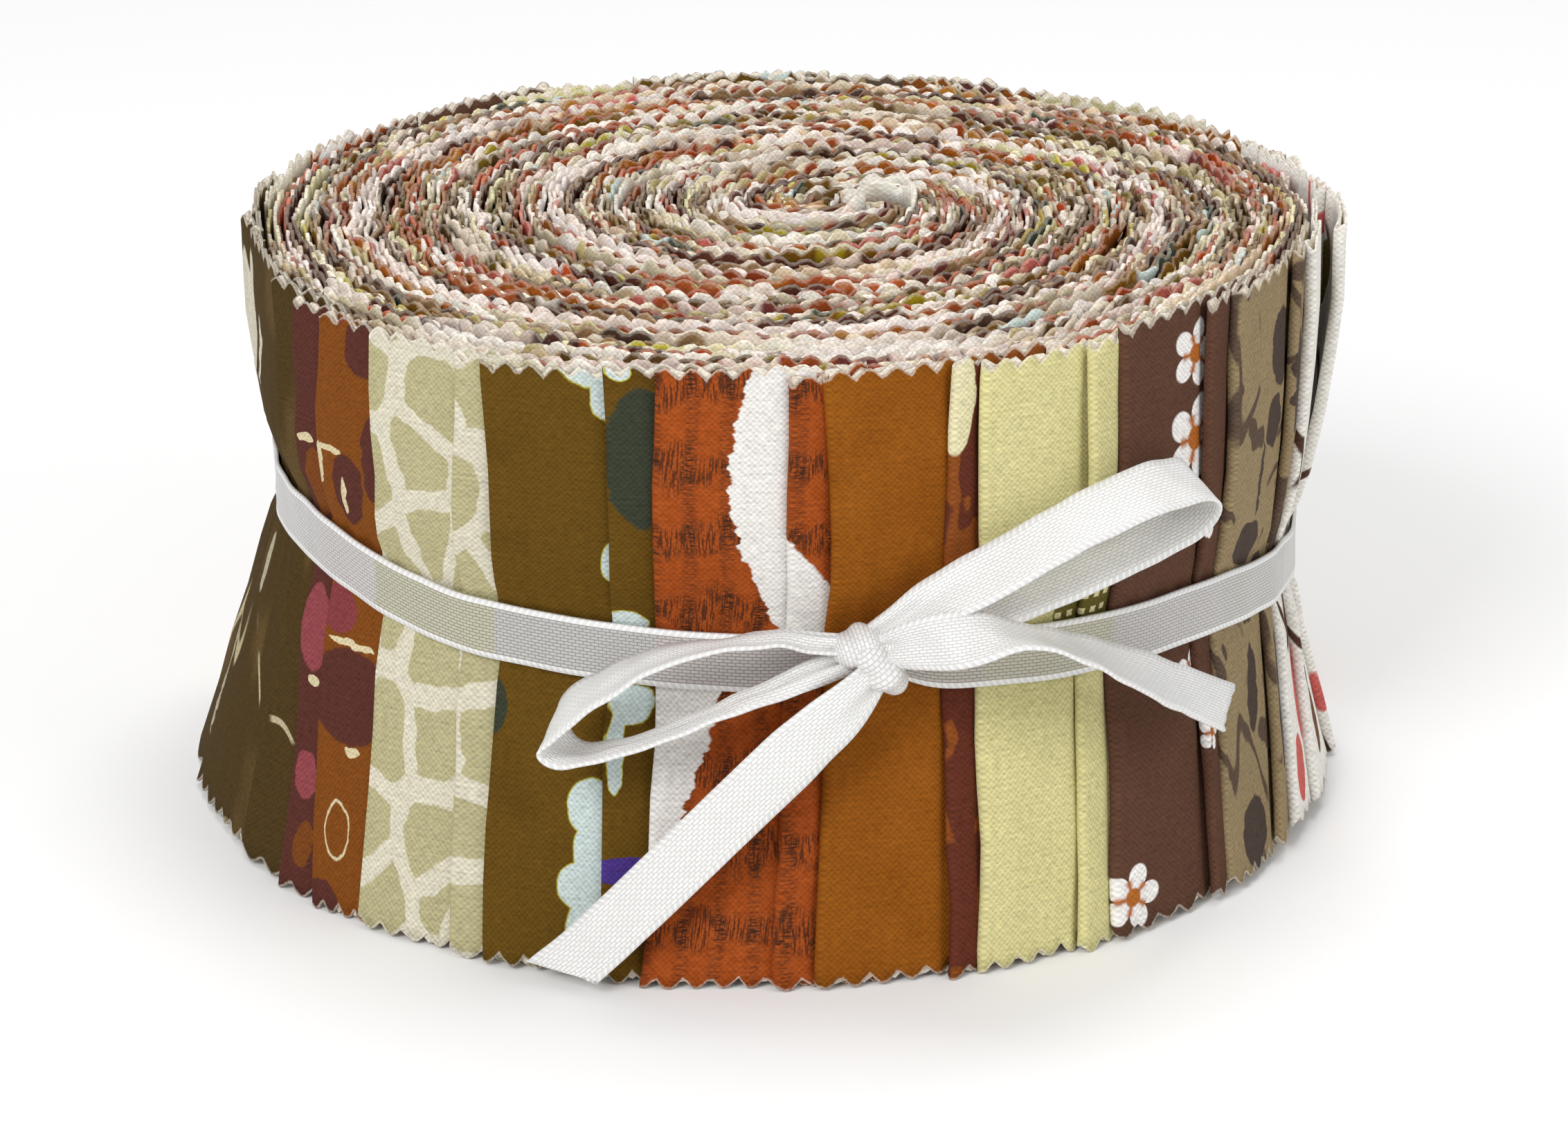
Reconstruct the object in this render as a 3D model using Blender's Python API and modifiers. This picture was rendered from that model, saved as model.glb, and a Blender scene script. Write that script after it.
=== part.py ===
"""A roll of pinked cotton quilting strips, tied round its waist with a narrow satin ribbon.

Metres, +Z up. The roll stands on z = 0 with its axis through the origin, and its bow faces -Y.
Angles are degrees round that axis: 0 at the front, growing towards +X.
"""

import math
from typing import Callable, NamedTuple, Sequence

import bmesh
import bpy
from mathutils import Matrix, Vector

MM = 0.001
CLEARANCE = 0.3 * MM
WELD_DISTANCE = 0.0001 * MM
FLAT_LIMIT = 0.01 * MM

# The wound strips.
ROLL_HEIGHT = 62.4 * MM
TOP_RADIUS = 56.6 * MM
WAIST_RADIUS = 55.1 * MM
FOOT_RADIUS = 62.4 * MM
TOP_SHIFT = 0.8 * MM
WAIST_SHIFT = 0.9 * MM
FOOT_SHIFT = -1.1 * MM
FOOT_INSET = 2.4 * MM
FOLD_STEP = 1.2 * MM
PRESSED_FOLD_STEP = 0.4 * MM
TOOTH_HEIGHT = 1.2 * MM
RIM_WAVE = 0.35 * MM
RIM_WAVE_TURN = 1.9
EDGE_MARGIN = 2.7 * MM
SKIRT_SHARE = 0.46
SHOULDER_SHARE = 0.6
FOLD_EDGE_SHARE = 0.055
FOLD_FALL = 0.85
SIDE_ROWS = 8

# The winding that shows on top: a spiral of turns that thins out to nothing where the strips end outside.
WINDING_TURNS = 6
TURN_COLUMNS = 84
TURN_SHARES = (0.0, 0.16, 0.84, 1.0)
GROOVE_DEPTH = 1.2 * MM
GROOVE_CHANGE = 0.5 * MM
GROOVE_START = 50.0
WINDING_CENTRE = Vector((7.4, 3.9, 0.0)) * MM
RIM_WALL = 0.8 * MM
RIM_DROP = 0.7 * MM
PLY_RIPPLE = 0.4 * MM
RIPPLE_RADIUS = 25.0 * MM

# The ribbon.
RIBBON_WIDTH = 6.0 * MM
RIBBON_THICKNESS = 1.0 * MM
GROOVE_HALF_HEIGHT = 4.0 * MM


class Fold(NamedTuple):
    """One fold on the outside.

    rim and foot are the angles of its left edge there, lift is how far its foot hangs above the ground, and
    stand is how far it stands out from its neighbours at the rim.
    """

    rim: float
    foot: float
    lift: float
    stand: float


# The front's folds from left to right. Wide ones are a strip's face, narrow ones its bead.
FRONT_FOLDS = (
    Fold(-83.0, -80.0, 0.6 * MM, 0.0 * MM),
    Fold(-65.4, -62.0, 0.3 * MM, 0.2 * MM),
    Fold(-60.7, -53.3, 0.0 * MM, 0.1 * MM),
    Fold(-55.8, -47.8, 0.0 * MM, -0.2 * MM),
    Fold(-45.6, -41.3, 0.2 * MM, 0.3 * MM),
    Fold(-34.2, -30.1, 0.0 * MM, 0.2 * MM),
    Fold(-29.8, -25.8, 0.4 * MM, 0.0 * MM),
    Fold(-17.5, -14.2, 0.2 * MM, 0.2 * MM),
    Fold(-12.6, -10.1, 0.0 * MM, 0.1 * MM),
    Fold(0.7, 2.0, 0.0 * MM, 0.2 * MM),
    Fold(4.4, 5.5, 0.2 * MM, -0.1 * MM),
    Fold(16.5, 17.0, 0.0 * MM, -0.2 * MM),
    Fold(19.8, 20.0, 0.2 * MM, 0.2 * MM),
    Fold(31.0, 30.0, 0.0 * MM, 0.3 * MM),
    Fold(35.1, 34.0, 0.4 * MM, 0.0 * MM),
    Fold(47.2, 46.6, 0.6 * MM, 0.2 * MM),
    Fold(51.2, 50.0, 0.8 * MM, 0.0 * MM),
    Fold(63.6, 58.5, 1.4 * MM, 0.2 * MM),
    Fold(68.5, 62.5, 1.8 * MM, 0.4 * MM),
    Fold(77.0, 70.0, 1.6 * MM, 2.0 * MM),
)
BACK_PAIRS = 11
BACK_START = 90.0
BACK_FACE_SHARE = 0.74
BACK_LEAN = 3.5
BACK_LIFT = 0.3 * MM
BACK_STAND = 0.2 * MM
FACE_LIMIT = 7.0
FACE_COLUMNS = (0.0, 0.05, 0.20, 0.35, 0.50, 0.65, 0.80, 0.94)
BEAD_COLUMNS = (0.0, 0.25, 0.60, 0.90)


class SidePlace(NamedTuple):
    """A place on the side's profile: its height, its radius, and how far its ring is shifted to the right."""

    height: float
    radius: float
    shift: float


class Level(NamedTuple):
    """A height on the ribbon's way round the roll."""

    angle: float
    height: float


BAND_LEVELS = (
    Level(-180.0, 31.0 * MM),
    Level(-110.0, 34.6 * MM),
    Level(-66.0, 34.5 * MM),
    Level(-33.0, 32.0 * MM),
    Level(0.0, 31.6 * MM),
    Level(43.0, 30.0 * MM),
    Level(83.0, 26.8 * MM),
    Level(125.0, 27.0 * MM),
    Level(180.0, 31.0 * MM),
)


class Station(NamedTuple):
    """A place on a ribbon: angle, radius and height, how far its upper edge tips back, and its width there."""

    angle: float
    radius: float
    height: float
    lean: float
    width: float


LOOP_RIGHT = (
    Station(11.0, 60.4, 37.0, 20, 2.8),
    Station(14.6, 61.6, 39.7, 40, 5.0),
    Station(20.2, 63.2, 43.3, 55, 6.0),
    Station(26.2, 63.8, 46.4, 60, 6.0),
    Station(32.0, 63.8, 48.2, 60, 6.0),
    Station(37.6, 63.4, 48.6, 60, 6.0),
    Station(41.6, 62.6, 47.6, 60, 6.0),
    Station(42.8, 61.6, 45.4, 60, 6.0),
    Station(41.0, 61.0, 43.4, 60, 6.0),
    Station(36.0, 60.8, 42.2, 60, 6.0),
    Station(27.4, 60.8, 40.2, 58, 6.0),
    Station(19.5, 60.2, 37.8, 45, 5.4),
    Station(11.9, 58.8, 33.9, 0, 2.8),
)
LOOP_LEFT = (
    Station(3.3, 59.6, 35.4, 40, 2.6),
    Station(-0.2, 61.0, 36.3, 85, 5.0),
    Station(-4.6, 62.1, 36.1, 85, 6.0),
    Station(-10.0, 62.7, 34.8, 70, 6.0),
    Station(-15.0, 63.2, 31.6, 55, 6.0),
    Station(-19.0, 63.0, 28.0, 50, 6.0),
    Station(-20.4, 62.4, 25.2, 60, 6.0),
    Station(-18.4, 61.9, 23.6, 75, 6.0),
    Station(-14.0, 61.7, 24.8, 85, 6.0),
    Station(-8.0, 61.6, 27.6, 85, 5.6),
    Station(-2.0, 61.0, 30.2, 80, 4.4),
    Station(4.3, 59.4, 32.3, 40, 2.6),
)
TAIL_LEFT = (
    Station(7.8, 60.0, 30.3, 0, 3.0),
    Station(5.4, 61.2, 28.2, 0, 4.6),
    Station(1.8, 62.0, 25.2, 5, 6.0),
    Station(-3.7, 62.8, 19.0, 10, 6.0),
    Station(-9.7, 63.9, 12.1, 14, 6.0),
    Station(-17.0, 65.6, 3.4, 16, 6.0),
)
TAIL_RIGHT = (
    Station(11.7, 60.9, 33.6, 10, 3.2),
    Station(15.4, 64.8, 34.2, 10, 5.2),
    Station(21.2, 66.5, 35.8, 80, 6.0),
    Station(28.1, 66.3, 33.6, 70, 6.0),
    Station(35.8, 65.0, 29.2, 40, 6.0),
    Station(45.9, 63.5, 22.4, 30, 6.0),
)
STATION_STEPS = 3
TAIL_STEPS = 4
TAIL_CUT = 3.0 * MM
BAND_COLUMNS = 96


class Lobe(NamedTuple):
    """A rounded wrap of the knot: its centre, its half sizes across, outwards and upwards, and its turn."""

    angle: float
    radius: float
    height: float
    half: tuple[float, float, float]
    turn: float


KNOT_LOBES = (
    Lobe(7.2, 59.5, 35.0, (3.5, 2.2, 2.1), 32.0),
    Lobe(9.2, 59.7, 33.6, (2.3, 2.4, 3.3), 18.0),
)
LOBE_SEGMENTS = 18
LOBE_RINGS = 12

COTTON = ("cotton", (0.34, 0.23, 0.13, 1.0), 0.95)
SATIN = ("satin", (0.86, 0.86, 0.85, 1.0), 0.45)


def direction(angle: float) -> Vector:
    """The outward unit vector at an angle round the axis."""
    turn = math.radians(angle)
    return Vector((math.sin(turn), -math.cos(turn), 0.0))


def mix(low: float, high: float, share: float) -> float:
    """The value a share of the way from low to high."""
    return low + (high - low) * share


def curve_through(rows: Sequence[Sequence[float]], place: float) -> list[float]:
    """A place along a Catmull-Rom curve through rows of numbers, one whole number for each row."""
    last = len(rows) - 1
    span = min(int(place), last - 1)
    share = place - span
    before, start, end, after = (rows[min(max(span + k, 0), last)] for k in (-1, 0, 1, 2))
    values = []
    for a, b, c, d in zip(before, start, end, after):
        bend, swing = 2 * a - 5 * b + 4 * c - d, 3 * b - a - 3 * c + d
        values.append(0.5 * (2 * b + (c - a) * share + bend * share**2 + swing * share**3))
    return values


def band_height(angle: float) -> float:
    """The height of the ribbon's middle at an angle, smooth through the band's levels."""
    turned = (angle + 180.0) % 360.0 - 180.0
    for low, high in zip(BAND_LEVELS, BAND_LEVELS[1:]):
        if turned <= high.angle:
            share = (turned - low.angle) / (high.angle - low.angle)
            return mix(low.height, high.height, share * share * (3.0 - 2.0 * share))
    return BAND_LEVELS[-1].height


def all_folds() -> list[Fold]:
    """The front's folds, then the back's face and bead pairs, spread evenly over what is left."""
    folds = list(FRONT_FOLDS)
    pitch = (FRONT_FOLDS[0].rim + 360.0 - BACK_START) / BACK_PAIRS
    for pair in range(BACK_PAIRS):
        face = BACK_START + pair * pitch
        bead = face + BACK_FACE_SHARE * pitch
        folds += [Fold(face, face - BACK_LEAN, BACK_LIFT, 0.0), Fold(bead, bead - BACK_LEAN, 0.0, BACK_STAND)]
    return folds


class Column(NamedTuple):
    """A line of points up the side: its angles at the rim and foot, and its place on its fold."""

    rim: float
    foot: float
    share: float
    lift: float
    stand: float
    wave: float
    tooth: float


def side_columns() -> list[Column]:
    """Every column round the roll. Columns alternate between the tip and the notch of a pinked tooth."""
    folds = all_folds()
    columns = []
    for number, fold in enumerate(folds):
        following = folds[(number + 1) % len(folds)]
        full_turn = 360.0 if number + 1 == len(folds) else 0.0
        rim_span = following.rim + full_turn - fold.rim
        foot_span = following.foot + full_turn - fold.foot
        wave = RIM_WAVE * math.sin(RIM_WAVE_TURN * number)
        shares = FACE_COLUMNS if rim_span > FACE_LIMIT else BEAD_COLUMNS
        for place, share in enumerate(shares):
            rim, foot = fold.rim + share * rim_span, fold.foot + share * foot_span
            tooth = TOOTH_HEIGHT * (place % 2)
            columns.append(Column(rim, foot, share, fold.lift, fold.stand, wave, tooth))
    return columns


def fold_relief(share: float, step: float) -> float:
    """How far a fold stands over the one under it: a rounded left edge, then a fall towards the next fold."""
    rounded = min(1.0, 0.5 + 0.5 * share / FOLD_EDGE_SHARE)
    return step * rounded * (1.0 - FOLD_FALL * share)


def side_point(column: Column, row: int) -> Vector:
    """A point of the side. Rows run from the flat base up to the rim."""
    middle = band_height(mix(column.foot, column.rim, 0.5))
    low, high = middle - GROOVE_HALF_HEIGHT, middle + GROOVE_HALF_HEIGHT
    relief = fold_relief(column.share, FOLD_STEP)
    waist = WAIST_RADIUS + fold_relief(column.share, PRESSED_FOLD_STEP)
    skirt = mix(WAIST_RADIUS, FOOT_RADIUS, SKIRT_SHARE) + relief
    foot = FOOT_RADIUS + relief
    shoulder = mix(WAIST_RADIUS, TOP_RADIUS, SHOULDER_SHARE) + relief + 0.5 * column.stand
    rim = TOP_RADIUS + relief + column.stand
    rows = (
        SidePlace(0.0, FOOT_RADIUS - FOOT_INSET, FOOT_SHIFT),
        SidePlace(column.lift + column.tooth, foot, FOOT_SHIFT),
        SidePlace(column.lift + EDGE_MARGIN, foot, FOOT_SHIFT),
        SidePlace(0.5 * low, skirt, 0.5 * (FOOT_SHIFT + WAIST_SHIFT)),
        SidePlace(low, waist, WAIST_SHIFT),
        SidePlace(high, waist, WAIST_SHIFT),
        SidePlace(mix(high, ROLL_HEIGHT, 0.5), shoulder, WAIST_SHIFT),
        SidePlace(ROLL_HEIGHT - EDGE_MARGIN, rim, TOP_SHIFT),
        SidePlace(ROLL_HEIGHT + column.wave - column.tooth, rim, TOP_SHIFT),
    )
    height, radius, shift = rows[row]
    angle = mix(column.foot, column.rim, height / ROLL_HEIGHT)
    return direction(angle) * radius + Vector((shift, 0.0, height))


def groove_depth(turned: float) -> float:
    """The depth of the groove between two turns, at an angle along the whole spiral. Every second is deep."""
    depth = GROOVE_DEPTH + GROOVE_CHANGE * math.cos(math.radians(0.5 * turned))
    return depth * min(1.0, max(0.0, turned / GROOVE_START))


def winding_point(column: int, row: int) -> Vector:
    """A point of the top face: columns run along the spiral from its outer end, rows across a turn, inwards."""
    outer_radius = TOP_RADIUS - RIM_WALL
    pitch = outer_radius / WINDING_TURNS
    turned = 360.0 * (column / TURN_COLUMNS - 1.0)
    outer_edge = outer_radius - pitch * max(0.0, turned / 360.0)
    inner_edge = outer_radius - pitch * (turned / 360.0 + 1.0)
    radius = mix(outer_edge, inner_edge, TURN_SHARES[row])
    if row == 0:
        drop = groove_depth(turned)
    elif row == len(TURN_SHARES) - 1:
        drop = groove_depth(turned + 360.0)
    else:
        drop = PLY_RIPPLE * (column % 2) * min(1.0, radius / RIPPLE_RADIUS)
    centre = WINDING_CENTRE.lerp(Vector((TOP_SHIFT, 0.0, 0.0)), radius / outer_radius)
    return centre + direction(turned) * radius + Vector((0.0, 0.0, ROLL_HEIGHT - RIM_DROP - drop))


def placed_grid(bm: bmesh.types.BMesh, columns: int, rows: int, place: Callable[[int, int], Vector]) -> None:
    """Add a grid, and move its points to where place puts their column and row."""
    for vert in bmesh.ops.create_grid(bm, x_segments=columns, y_segments=rows, size=1.0)["verts"]:
        column = round((vert.co.x + 1.0) * 0.5 * columns)
        row = round((vert.co.y + 1.0) * 0.5 * rows)
        vert.co = place(column, row)


def weld(bm: bmesh.types.BMesh) -> None:
    """Join the points that lie on each other."""
    bmesh.ops.remove_doubles(bm, verts=bm.verts, dist=WELD_DISTANCE)


def open_edges(bm: bmesh.types.BMesh) -> list[bmesh.types.BMEdge]:
    """The edges that have only one face."""
    return [edge for edge in bm.edges if edge.is_boundary]


def finish_mesh(bm: bmesh.types.BMesh, name: str, material: bpy.types.Material) -> bpy.types.Object:
    """Turn a bmesh into a named object of the roll's collection, its faces pointing outwards."""
    bmesh.ops.recalc_face_normals(bm, faces=bm.faces)
    mesh = bpy.data.meshes.new(name)
    bm.to_mesh(mesh)
    bm.free()
    mesh.materials.append(material)
    made = bpy.data.objects.new(name, mesh)
    bpy.data.collections["strip_roll"].objects.link(made)
    return made


def make_material(name: str, colour: tuple[float, ...], roughness: float) -> bpy.types.Material:
    """A Principled material of one colour."""
    material = bpy.data.materials.new(name)
    material.use_nodes = True
    shader = material.node_tree.nodes["Principled BSDF"]
    shader.inputs["Base Color"].default_value = colour
    shader.inputs["Roughness"].default_value = roughness
    return material


def make_roll(material: bpy.types.Material) -> bpy.types.Object:
    """The wound strips: folds down the side, pinked edges, a drawn-in waist, a flared foot and a spiral top."""
    columns = side_columns()
    count = len(columns)
    bm = bmesh.new()
    placed_grid(bm, count, SIDE_ROWS, lambda column, row: side_point(columns[column % count], row))
    weld(bm)
    base = [edge for edge in open_edges(bm) if max(vert.co.z for vert in edge.verts) < FLAT_LIMIT]
    bmesh.ops.contextual_create(bm, geom=base)
    placed_grid(bm, WINDING_TURNS * TURN_COLUMNS, len(TURN_SHARES) - 1, winding_point)
    weld(bm)
    core_limit = TOP_RADIUS / WINDING_TURNS + WINDING_CENTRE.length
    core = [edge for edge in open_edges(bm) if max(vert.co.xy.length for vert in edge.verts) < core_limit]
    bmesh.ops.contextual_create(bm, geom=core)
    bmesh.ops.bridge_loops(bm, edges=open_edges(bm))
    return finish_mesh(bm, "roll", material)


def add_thickness(made: bpy.types.Object) -> bpy.types.Object:
    """Give a flat ribbon its thickness, half to each side."""
    wall = made.modifiers.new("thickness", "SOLIDIFY")
    wall.thickness = RIBBON_THICKNESS
    wall.offset = 0.0
    return made


def make_band(material: bpy.types.Material) -> bpy.types.Object:
    """The ribbon round the waist, a clearance off the pressed folds."""
    radius = WAIST_RADIUS + PRESSED_FOLD_STEP + CLEARANCE + 0.5 * RIBBON_THICKNESS

    def place(column: int, row: int) -> Vector:
        angle = 360.0 * (column % BAND_COLUMNS) / BAND_COLUMNS
        height = band_height(angle) + (row - 0.5) * RIBBON_WIDTH
        return direction(angle) * radius + Vector((WAIST_SHIFT, 0.0, height))

    bm = bmesh.new()
    placed_grid(bm, BAND_COLUMNS, 1, place)
    weld(bm)
    return add_thickness(finish_mesh(bm, "ribbon_band", material))


def make_ribbon(
    name: str, stations: Sequence[Station], steps: int, material: bpy.types.Material, cut: float = 0.0
) -> bpy.types.Object:
    """A ribbon along its stations. cut is how far the free end's lower edge runs on past its upper edge."""
    count = (len(stations) - 1) * steps
    line = [Station(*curve_through(stations, k / steps)) for k in range(count + 1)]
    points = [(direction(s.angle) * s.radius + Vector((0.0, 0.0, s.height))) * MM for s in line]

    def place(column: int, row: int) -> Vector:
        along = (points[min(column + 1, count)] - points[max(column - 1, 0)]).normalized()
        lean = math.radians(line[column].lean)
        across = Vector((0.0, 0.0, math.cos(lean))) - direction(line[column].angle) * math.sin(lean)
        across = (across - along * across.dot(along)).normalized()
        side = row - 0.5
        slant = -side * cut * max(0.0, 1.0 - (count - column) / steps)
        return points[column] + across * (side * line[column].width * MM) + along * slant

    bm = bmesh.new()
    placed_grid(bm, count, 1, place)
    return add_thickness(finish_mesh(bm, name, material))


def make_knot(material: bpy.types.Material) -> bpy.types.Object:
    """The bow's knot: two rounded wraps, joined."""
    wraps = []
    for number, lobe in enumerate(KNOT_LOBES):
        outward = direction(lobe.angle)
        bm = bmesh.new()
        bmesh.ops.create_uvsphere(bm, u_segments=LOBE_SEGMENTS, v_segments=LOBE_RINGS, radius=1.0)
        size = Matrix.Diagonal((*(half * MM for half in lobe.half), 1.0))
        turn = Matrix.Rotation(math.radians(lobe.turn), 4, "Y").inverted()
        facing = Matrix.Rotation(math.radians(lobe.angle), 4, "Z")
        place = Matrix.Translation((outward * lobe.radius + Vector((0.0, 0.0, lobe.height))) * MM)
        bmesh.ops.transform(bm, matrix=place @ facing @ turn @ size, verts=bm.verts)
        wraps.append(finish_mesh(bm, "ribbon_knot" if number == 0 else f"knot_wrap_{number}", material))
    knot, *others = wraps
    for other in others:
        other.hide_render = True
        other.display_type = "WIRE"
        bpy.data.collections["strip_roll"].objects.unlink(other)
        bpy.data.collections["cutters"].objects.link(other)
        join = knot.modifiers.new("join", "BOOLEAN")
        join.operation = "UNION"
        join.solver = "EXACT"
        join.object = other
    return knot


def build() -> None:
    """Make every piece of the tied roll."""
    for old in list(bpy.data.objects):
        bpy.data.objects.remove(old)
    for name in ("strip_roll", "cutters"):
        bpy.context.scene.collection.children.link(bpy.data.collections.new(name))
    cotton, satin = make_material(*COTTON), make_material(*SATIN)
    make_roll(cotton)
    make_band(satin)
    make_knot(satin)
    make_ribbon("ribbon_loop_right", LOOP_RIGHT, STATION_STEPS, satin)
    make_ribbon("ribbon_loop_left", LOOP_LEFT, STATION_STEPS, satin)
    make_ribbon("ribbon_tail_left", TAIL_LEFT, TAIL_STEPS, satin, cut=TAIL_CUT)
    make_ribbon("ribbon_tail_right", TAIL_RIGHT, TAIL_STEPS, satin)


build()
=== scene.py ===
"""A roll of pinked cotton quilting strips tied with a satin ribbon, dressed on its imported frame.

Shapes are worked out in millimetres and written in metres. Angles are degrees round the roll's axis: 0 at the
front, growing towards +X. A strip winds inwards as its angle grows. Cloth coordinates are millimetres along a
strip from its folded end, and millimetres up from the table.
"""

import logging
import math
from dataclasses import dataclass, field
from enum import Enum, IntEnum
from typing import NamedTuple, Sequence

import bmesh
import bpy
import numpy as np
from bpy.types import ID, Material, Mesh, Node, NodeSocket, NodeTree, Object
from mathutils import Euler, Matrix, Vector


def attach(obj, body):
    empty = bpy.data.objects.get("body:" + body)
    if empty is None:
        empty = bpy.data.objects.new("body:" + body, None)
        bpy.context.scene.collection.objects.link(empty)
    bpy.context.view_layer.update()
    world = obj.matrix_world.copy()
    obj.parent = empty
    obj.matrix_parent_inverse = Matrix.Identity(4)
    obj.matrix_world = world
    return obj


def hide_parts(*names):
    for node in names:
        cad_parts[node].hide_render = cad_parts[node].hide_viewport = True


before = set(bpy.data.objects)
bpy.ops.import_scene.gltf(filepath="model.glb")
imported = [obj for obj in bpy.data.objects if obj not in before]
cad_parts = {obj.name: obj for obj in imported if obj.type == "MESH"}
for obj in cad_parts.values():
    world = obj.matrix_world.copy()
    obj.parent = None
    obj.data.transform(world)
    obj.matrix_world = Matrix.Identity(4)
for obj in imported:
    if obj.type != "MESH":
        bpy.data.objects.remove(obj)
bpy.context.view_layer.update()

Array = np.ndarray
LOG = logging.getLogger("strip_roll")
MM = 0.001
STRIP_LENGTH = 1066.8
TABLE_GAP = 0.05
WELD_DISTANCE = 0.001 * MM
BUMP_DISTANCE = 0.08 * MM


def linear(code: str) -> tuple[float, float, float, float]:
    """The linear colour of a hexadecimal sRGB code.

    Args:
        code: Its six digits.

    Returns:
        Red, green, blue and an opaque alpha.
    """
    shares = [int(code[k : k + 2], 16) / 255 for k in (0, 2, 4)]
    values = [s / 12.92 if s <= 0.04045 else ((s + 0.055) / 1.055) ** 2.4 for s in shares]
    return (*values, 1.0)


def direction(angle: Array) -> Array:
    """The outward unit vectors at angles round the axis."""
    turn = np.radians(angle)
    return np.stack([np.sin(turn), -np.cos(turn), np.zeros_like(turn)], axis=-1)


def mix(low: Array, high: Array, share: Array) -> Array:
    """The values a share of the way from low to high."""
    return low + (high - low) * share


def ease(low: float, high: float, value: Array) -> Array:
    """A smooth step: 0 below low, 1 above high."""
    share = np.clip((value - low) / (high - low), 0.0, 1.0)
    return share * share * (3.0 - 2.0 * share)


def signed(angle: Array) -> Array:
    """Angles brought to between -180 and 180."""
    return (np.asarray(angle, float) + 180.0) % 360.0 - 180.0


class Seed(IntEnum):
    """The seeds of the random draws. Those from 100 on have the strip's number added."""

    TOP_WAVE = 11
    TOP_LEAN = 12
    TOP_TUFT = 13
    TOP_PALE = 14
    RIBBON = 41
    BAND = 51
    FOLD_PUFF = 100
    FOLD_SWAY = 200
    STRIP_WAVE = 300
    STRIP_SLIDE = 400
    TOP_TEETH = 500
    TOOTH_FLOP = 550
    FOOT_TEETH = 600
    UPPER_DYE = 700
    LOWER_DYE = 800


@dataclass(frozen=True)
class Wander:
    """A value that wanders smoothly over a place: a few sine waves of seeded direction and phase."""

    seed: int
    reach: float
    waves: int = 6

    def at(self, *places: Array) -> Array:
        """The value, mostly from -1 to 1, at places given by one array for each axis.

        Args:
            *places: The places, one array for each axis.

        Returns:
            The value at each place.
        """
        draw = np.random.default_rng(self.seed)
        total = 0.0
        for _ in range(self.waves):
            paces = draw.normal(0.0, 1.0, len(places)) * 2.0 * math.pi / self.reach
            phase = draw.uniform(0.0, 2.0 * math.pi)
            total = total + np.sin(sum(pace * place for pace, place in zip(paces, places)) + phase)
        return total / math.sqrt(self.waves)


# The roll's own shape, with the same driving sizes as its frame.


class Fold(NamedTuple):
    """A folded strip end: the angles of its left edge, its foot's lift, and how far out its rim stands."""

    rim: float
    waist: float
    foot: float
    lift: float
    stand: float


class Print(Enum):
    """The prints of the cotton strips."""

    TWIGS = "twigs"
    PATCHES = "patches"
    PEBBLES = "pebbles"
    WINGS = "wings"
    BRUSHED = "brushed_plaid"
    CARAMEL = "caramel"
    STRAW = "straw"
    BLOSSOM = "blossom"
    LEAVES = "leaves"
    BRANCH = "branch"


class StripEnd(NamedTuple):
    """A fold with its print, and where on the print's cloth it starts."""

    fold: Fold
    design: Print
    start: float


# Each print's two strip ends, from left to right.
FRONT_PAIRS = (
    (Print.TWIGS, Fold(-83.0, -84.0, -80.0, 0.6, -0.8), Fold(-65.4, -69.0, -61.0, 0.3, -0.3)),
    (Print.PATCHES, Fold(-59.4, -63.6, -52.4, 0.0, 0.1), Fold(-54.6, -59.0, -47.2, 0.0, -0.2)),
    (Print.PEBBLES, Fold(-45.3, -48.6, -41.0, 0.2, 0.3), Fold(-33.9, -36.4, -30.2, 0.0, 0.3)),
    (Print.WINGS, Fold(-30.2, -31.5, -26.2, 0.4, 0.0), Fold(-17.4, -18.1, -15.0, 0.2, 0.2)),
    (Print.BRUSHED, Fold(-12.7, -13.5, -10.8, 0.0, 0.1), Fold(0.4, 0.1, 1.2, 0.0, 0.2)),
    (Print.CARAMEL, Fold(4.1, 4.1, 5.0, 0.2, -0.1), Fold(16.2, 16.5, 17.0, 0.0, -0.2)),
    (Print.STRAW, Fold(19.3, 20.4, 20.0, 0.2, 0.2), Fold(30.6, 32.6, 30.2, 0.0, 0.3)),
    (Print.BLOSSOM, Fold(34.8, 36.5, 34.2, 0.4, 0.0), Fold(46.6, 50.0, 46.8, 0.6, 0.2)),
    (Print.LEAVES, Fold(51.0, 53.8, 49.8, 0.8, 0.0), Fold(64.4, 68.3, 59.0, 1.4, 0.2)),
    (Print.BRANCH, Fold(69.0, 72.6, 63.0, 1.8, 0.4), Fold(77.0, 80.0, 70.0, 1.6, 2.0)),
)
FRONT_CLOTH_STEP = 20.0
NARROW_FIRST = Print.PATCHES

# The back's prints, and how its ends are spaced.
BACK_DESIGNS = (
    Print.BRANCH,
    Print.CARAMEL,
    Print.PEBBLES,
    Print.PATCHES,
    Print.LEAVES,
    Print.WINGS,
    Print.STRAW,
    Print.BLOSSOM,
    Print.BRUSHED,
    Print.PEBBLES,
    Print.TWIGS,
)
BACK_START = 90.0
BACK_FACE_SHARE = 0.74
BACK_LEAN = 3.5
BACK_LIFT = 0.3
BACK_STAND = 0.2
BACK_CLOTH_START = 40.0
BACK_CLOTH_STEP = 25.0


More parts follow.
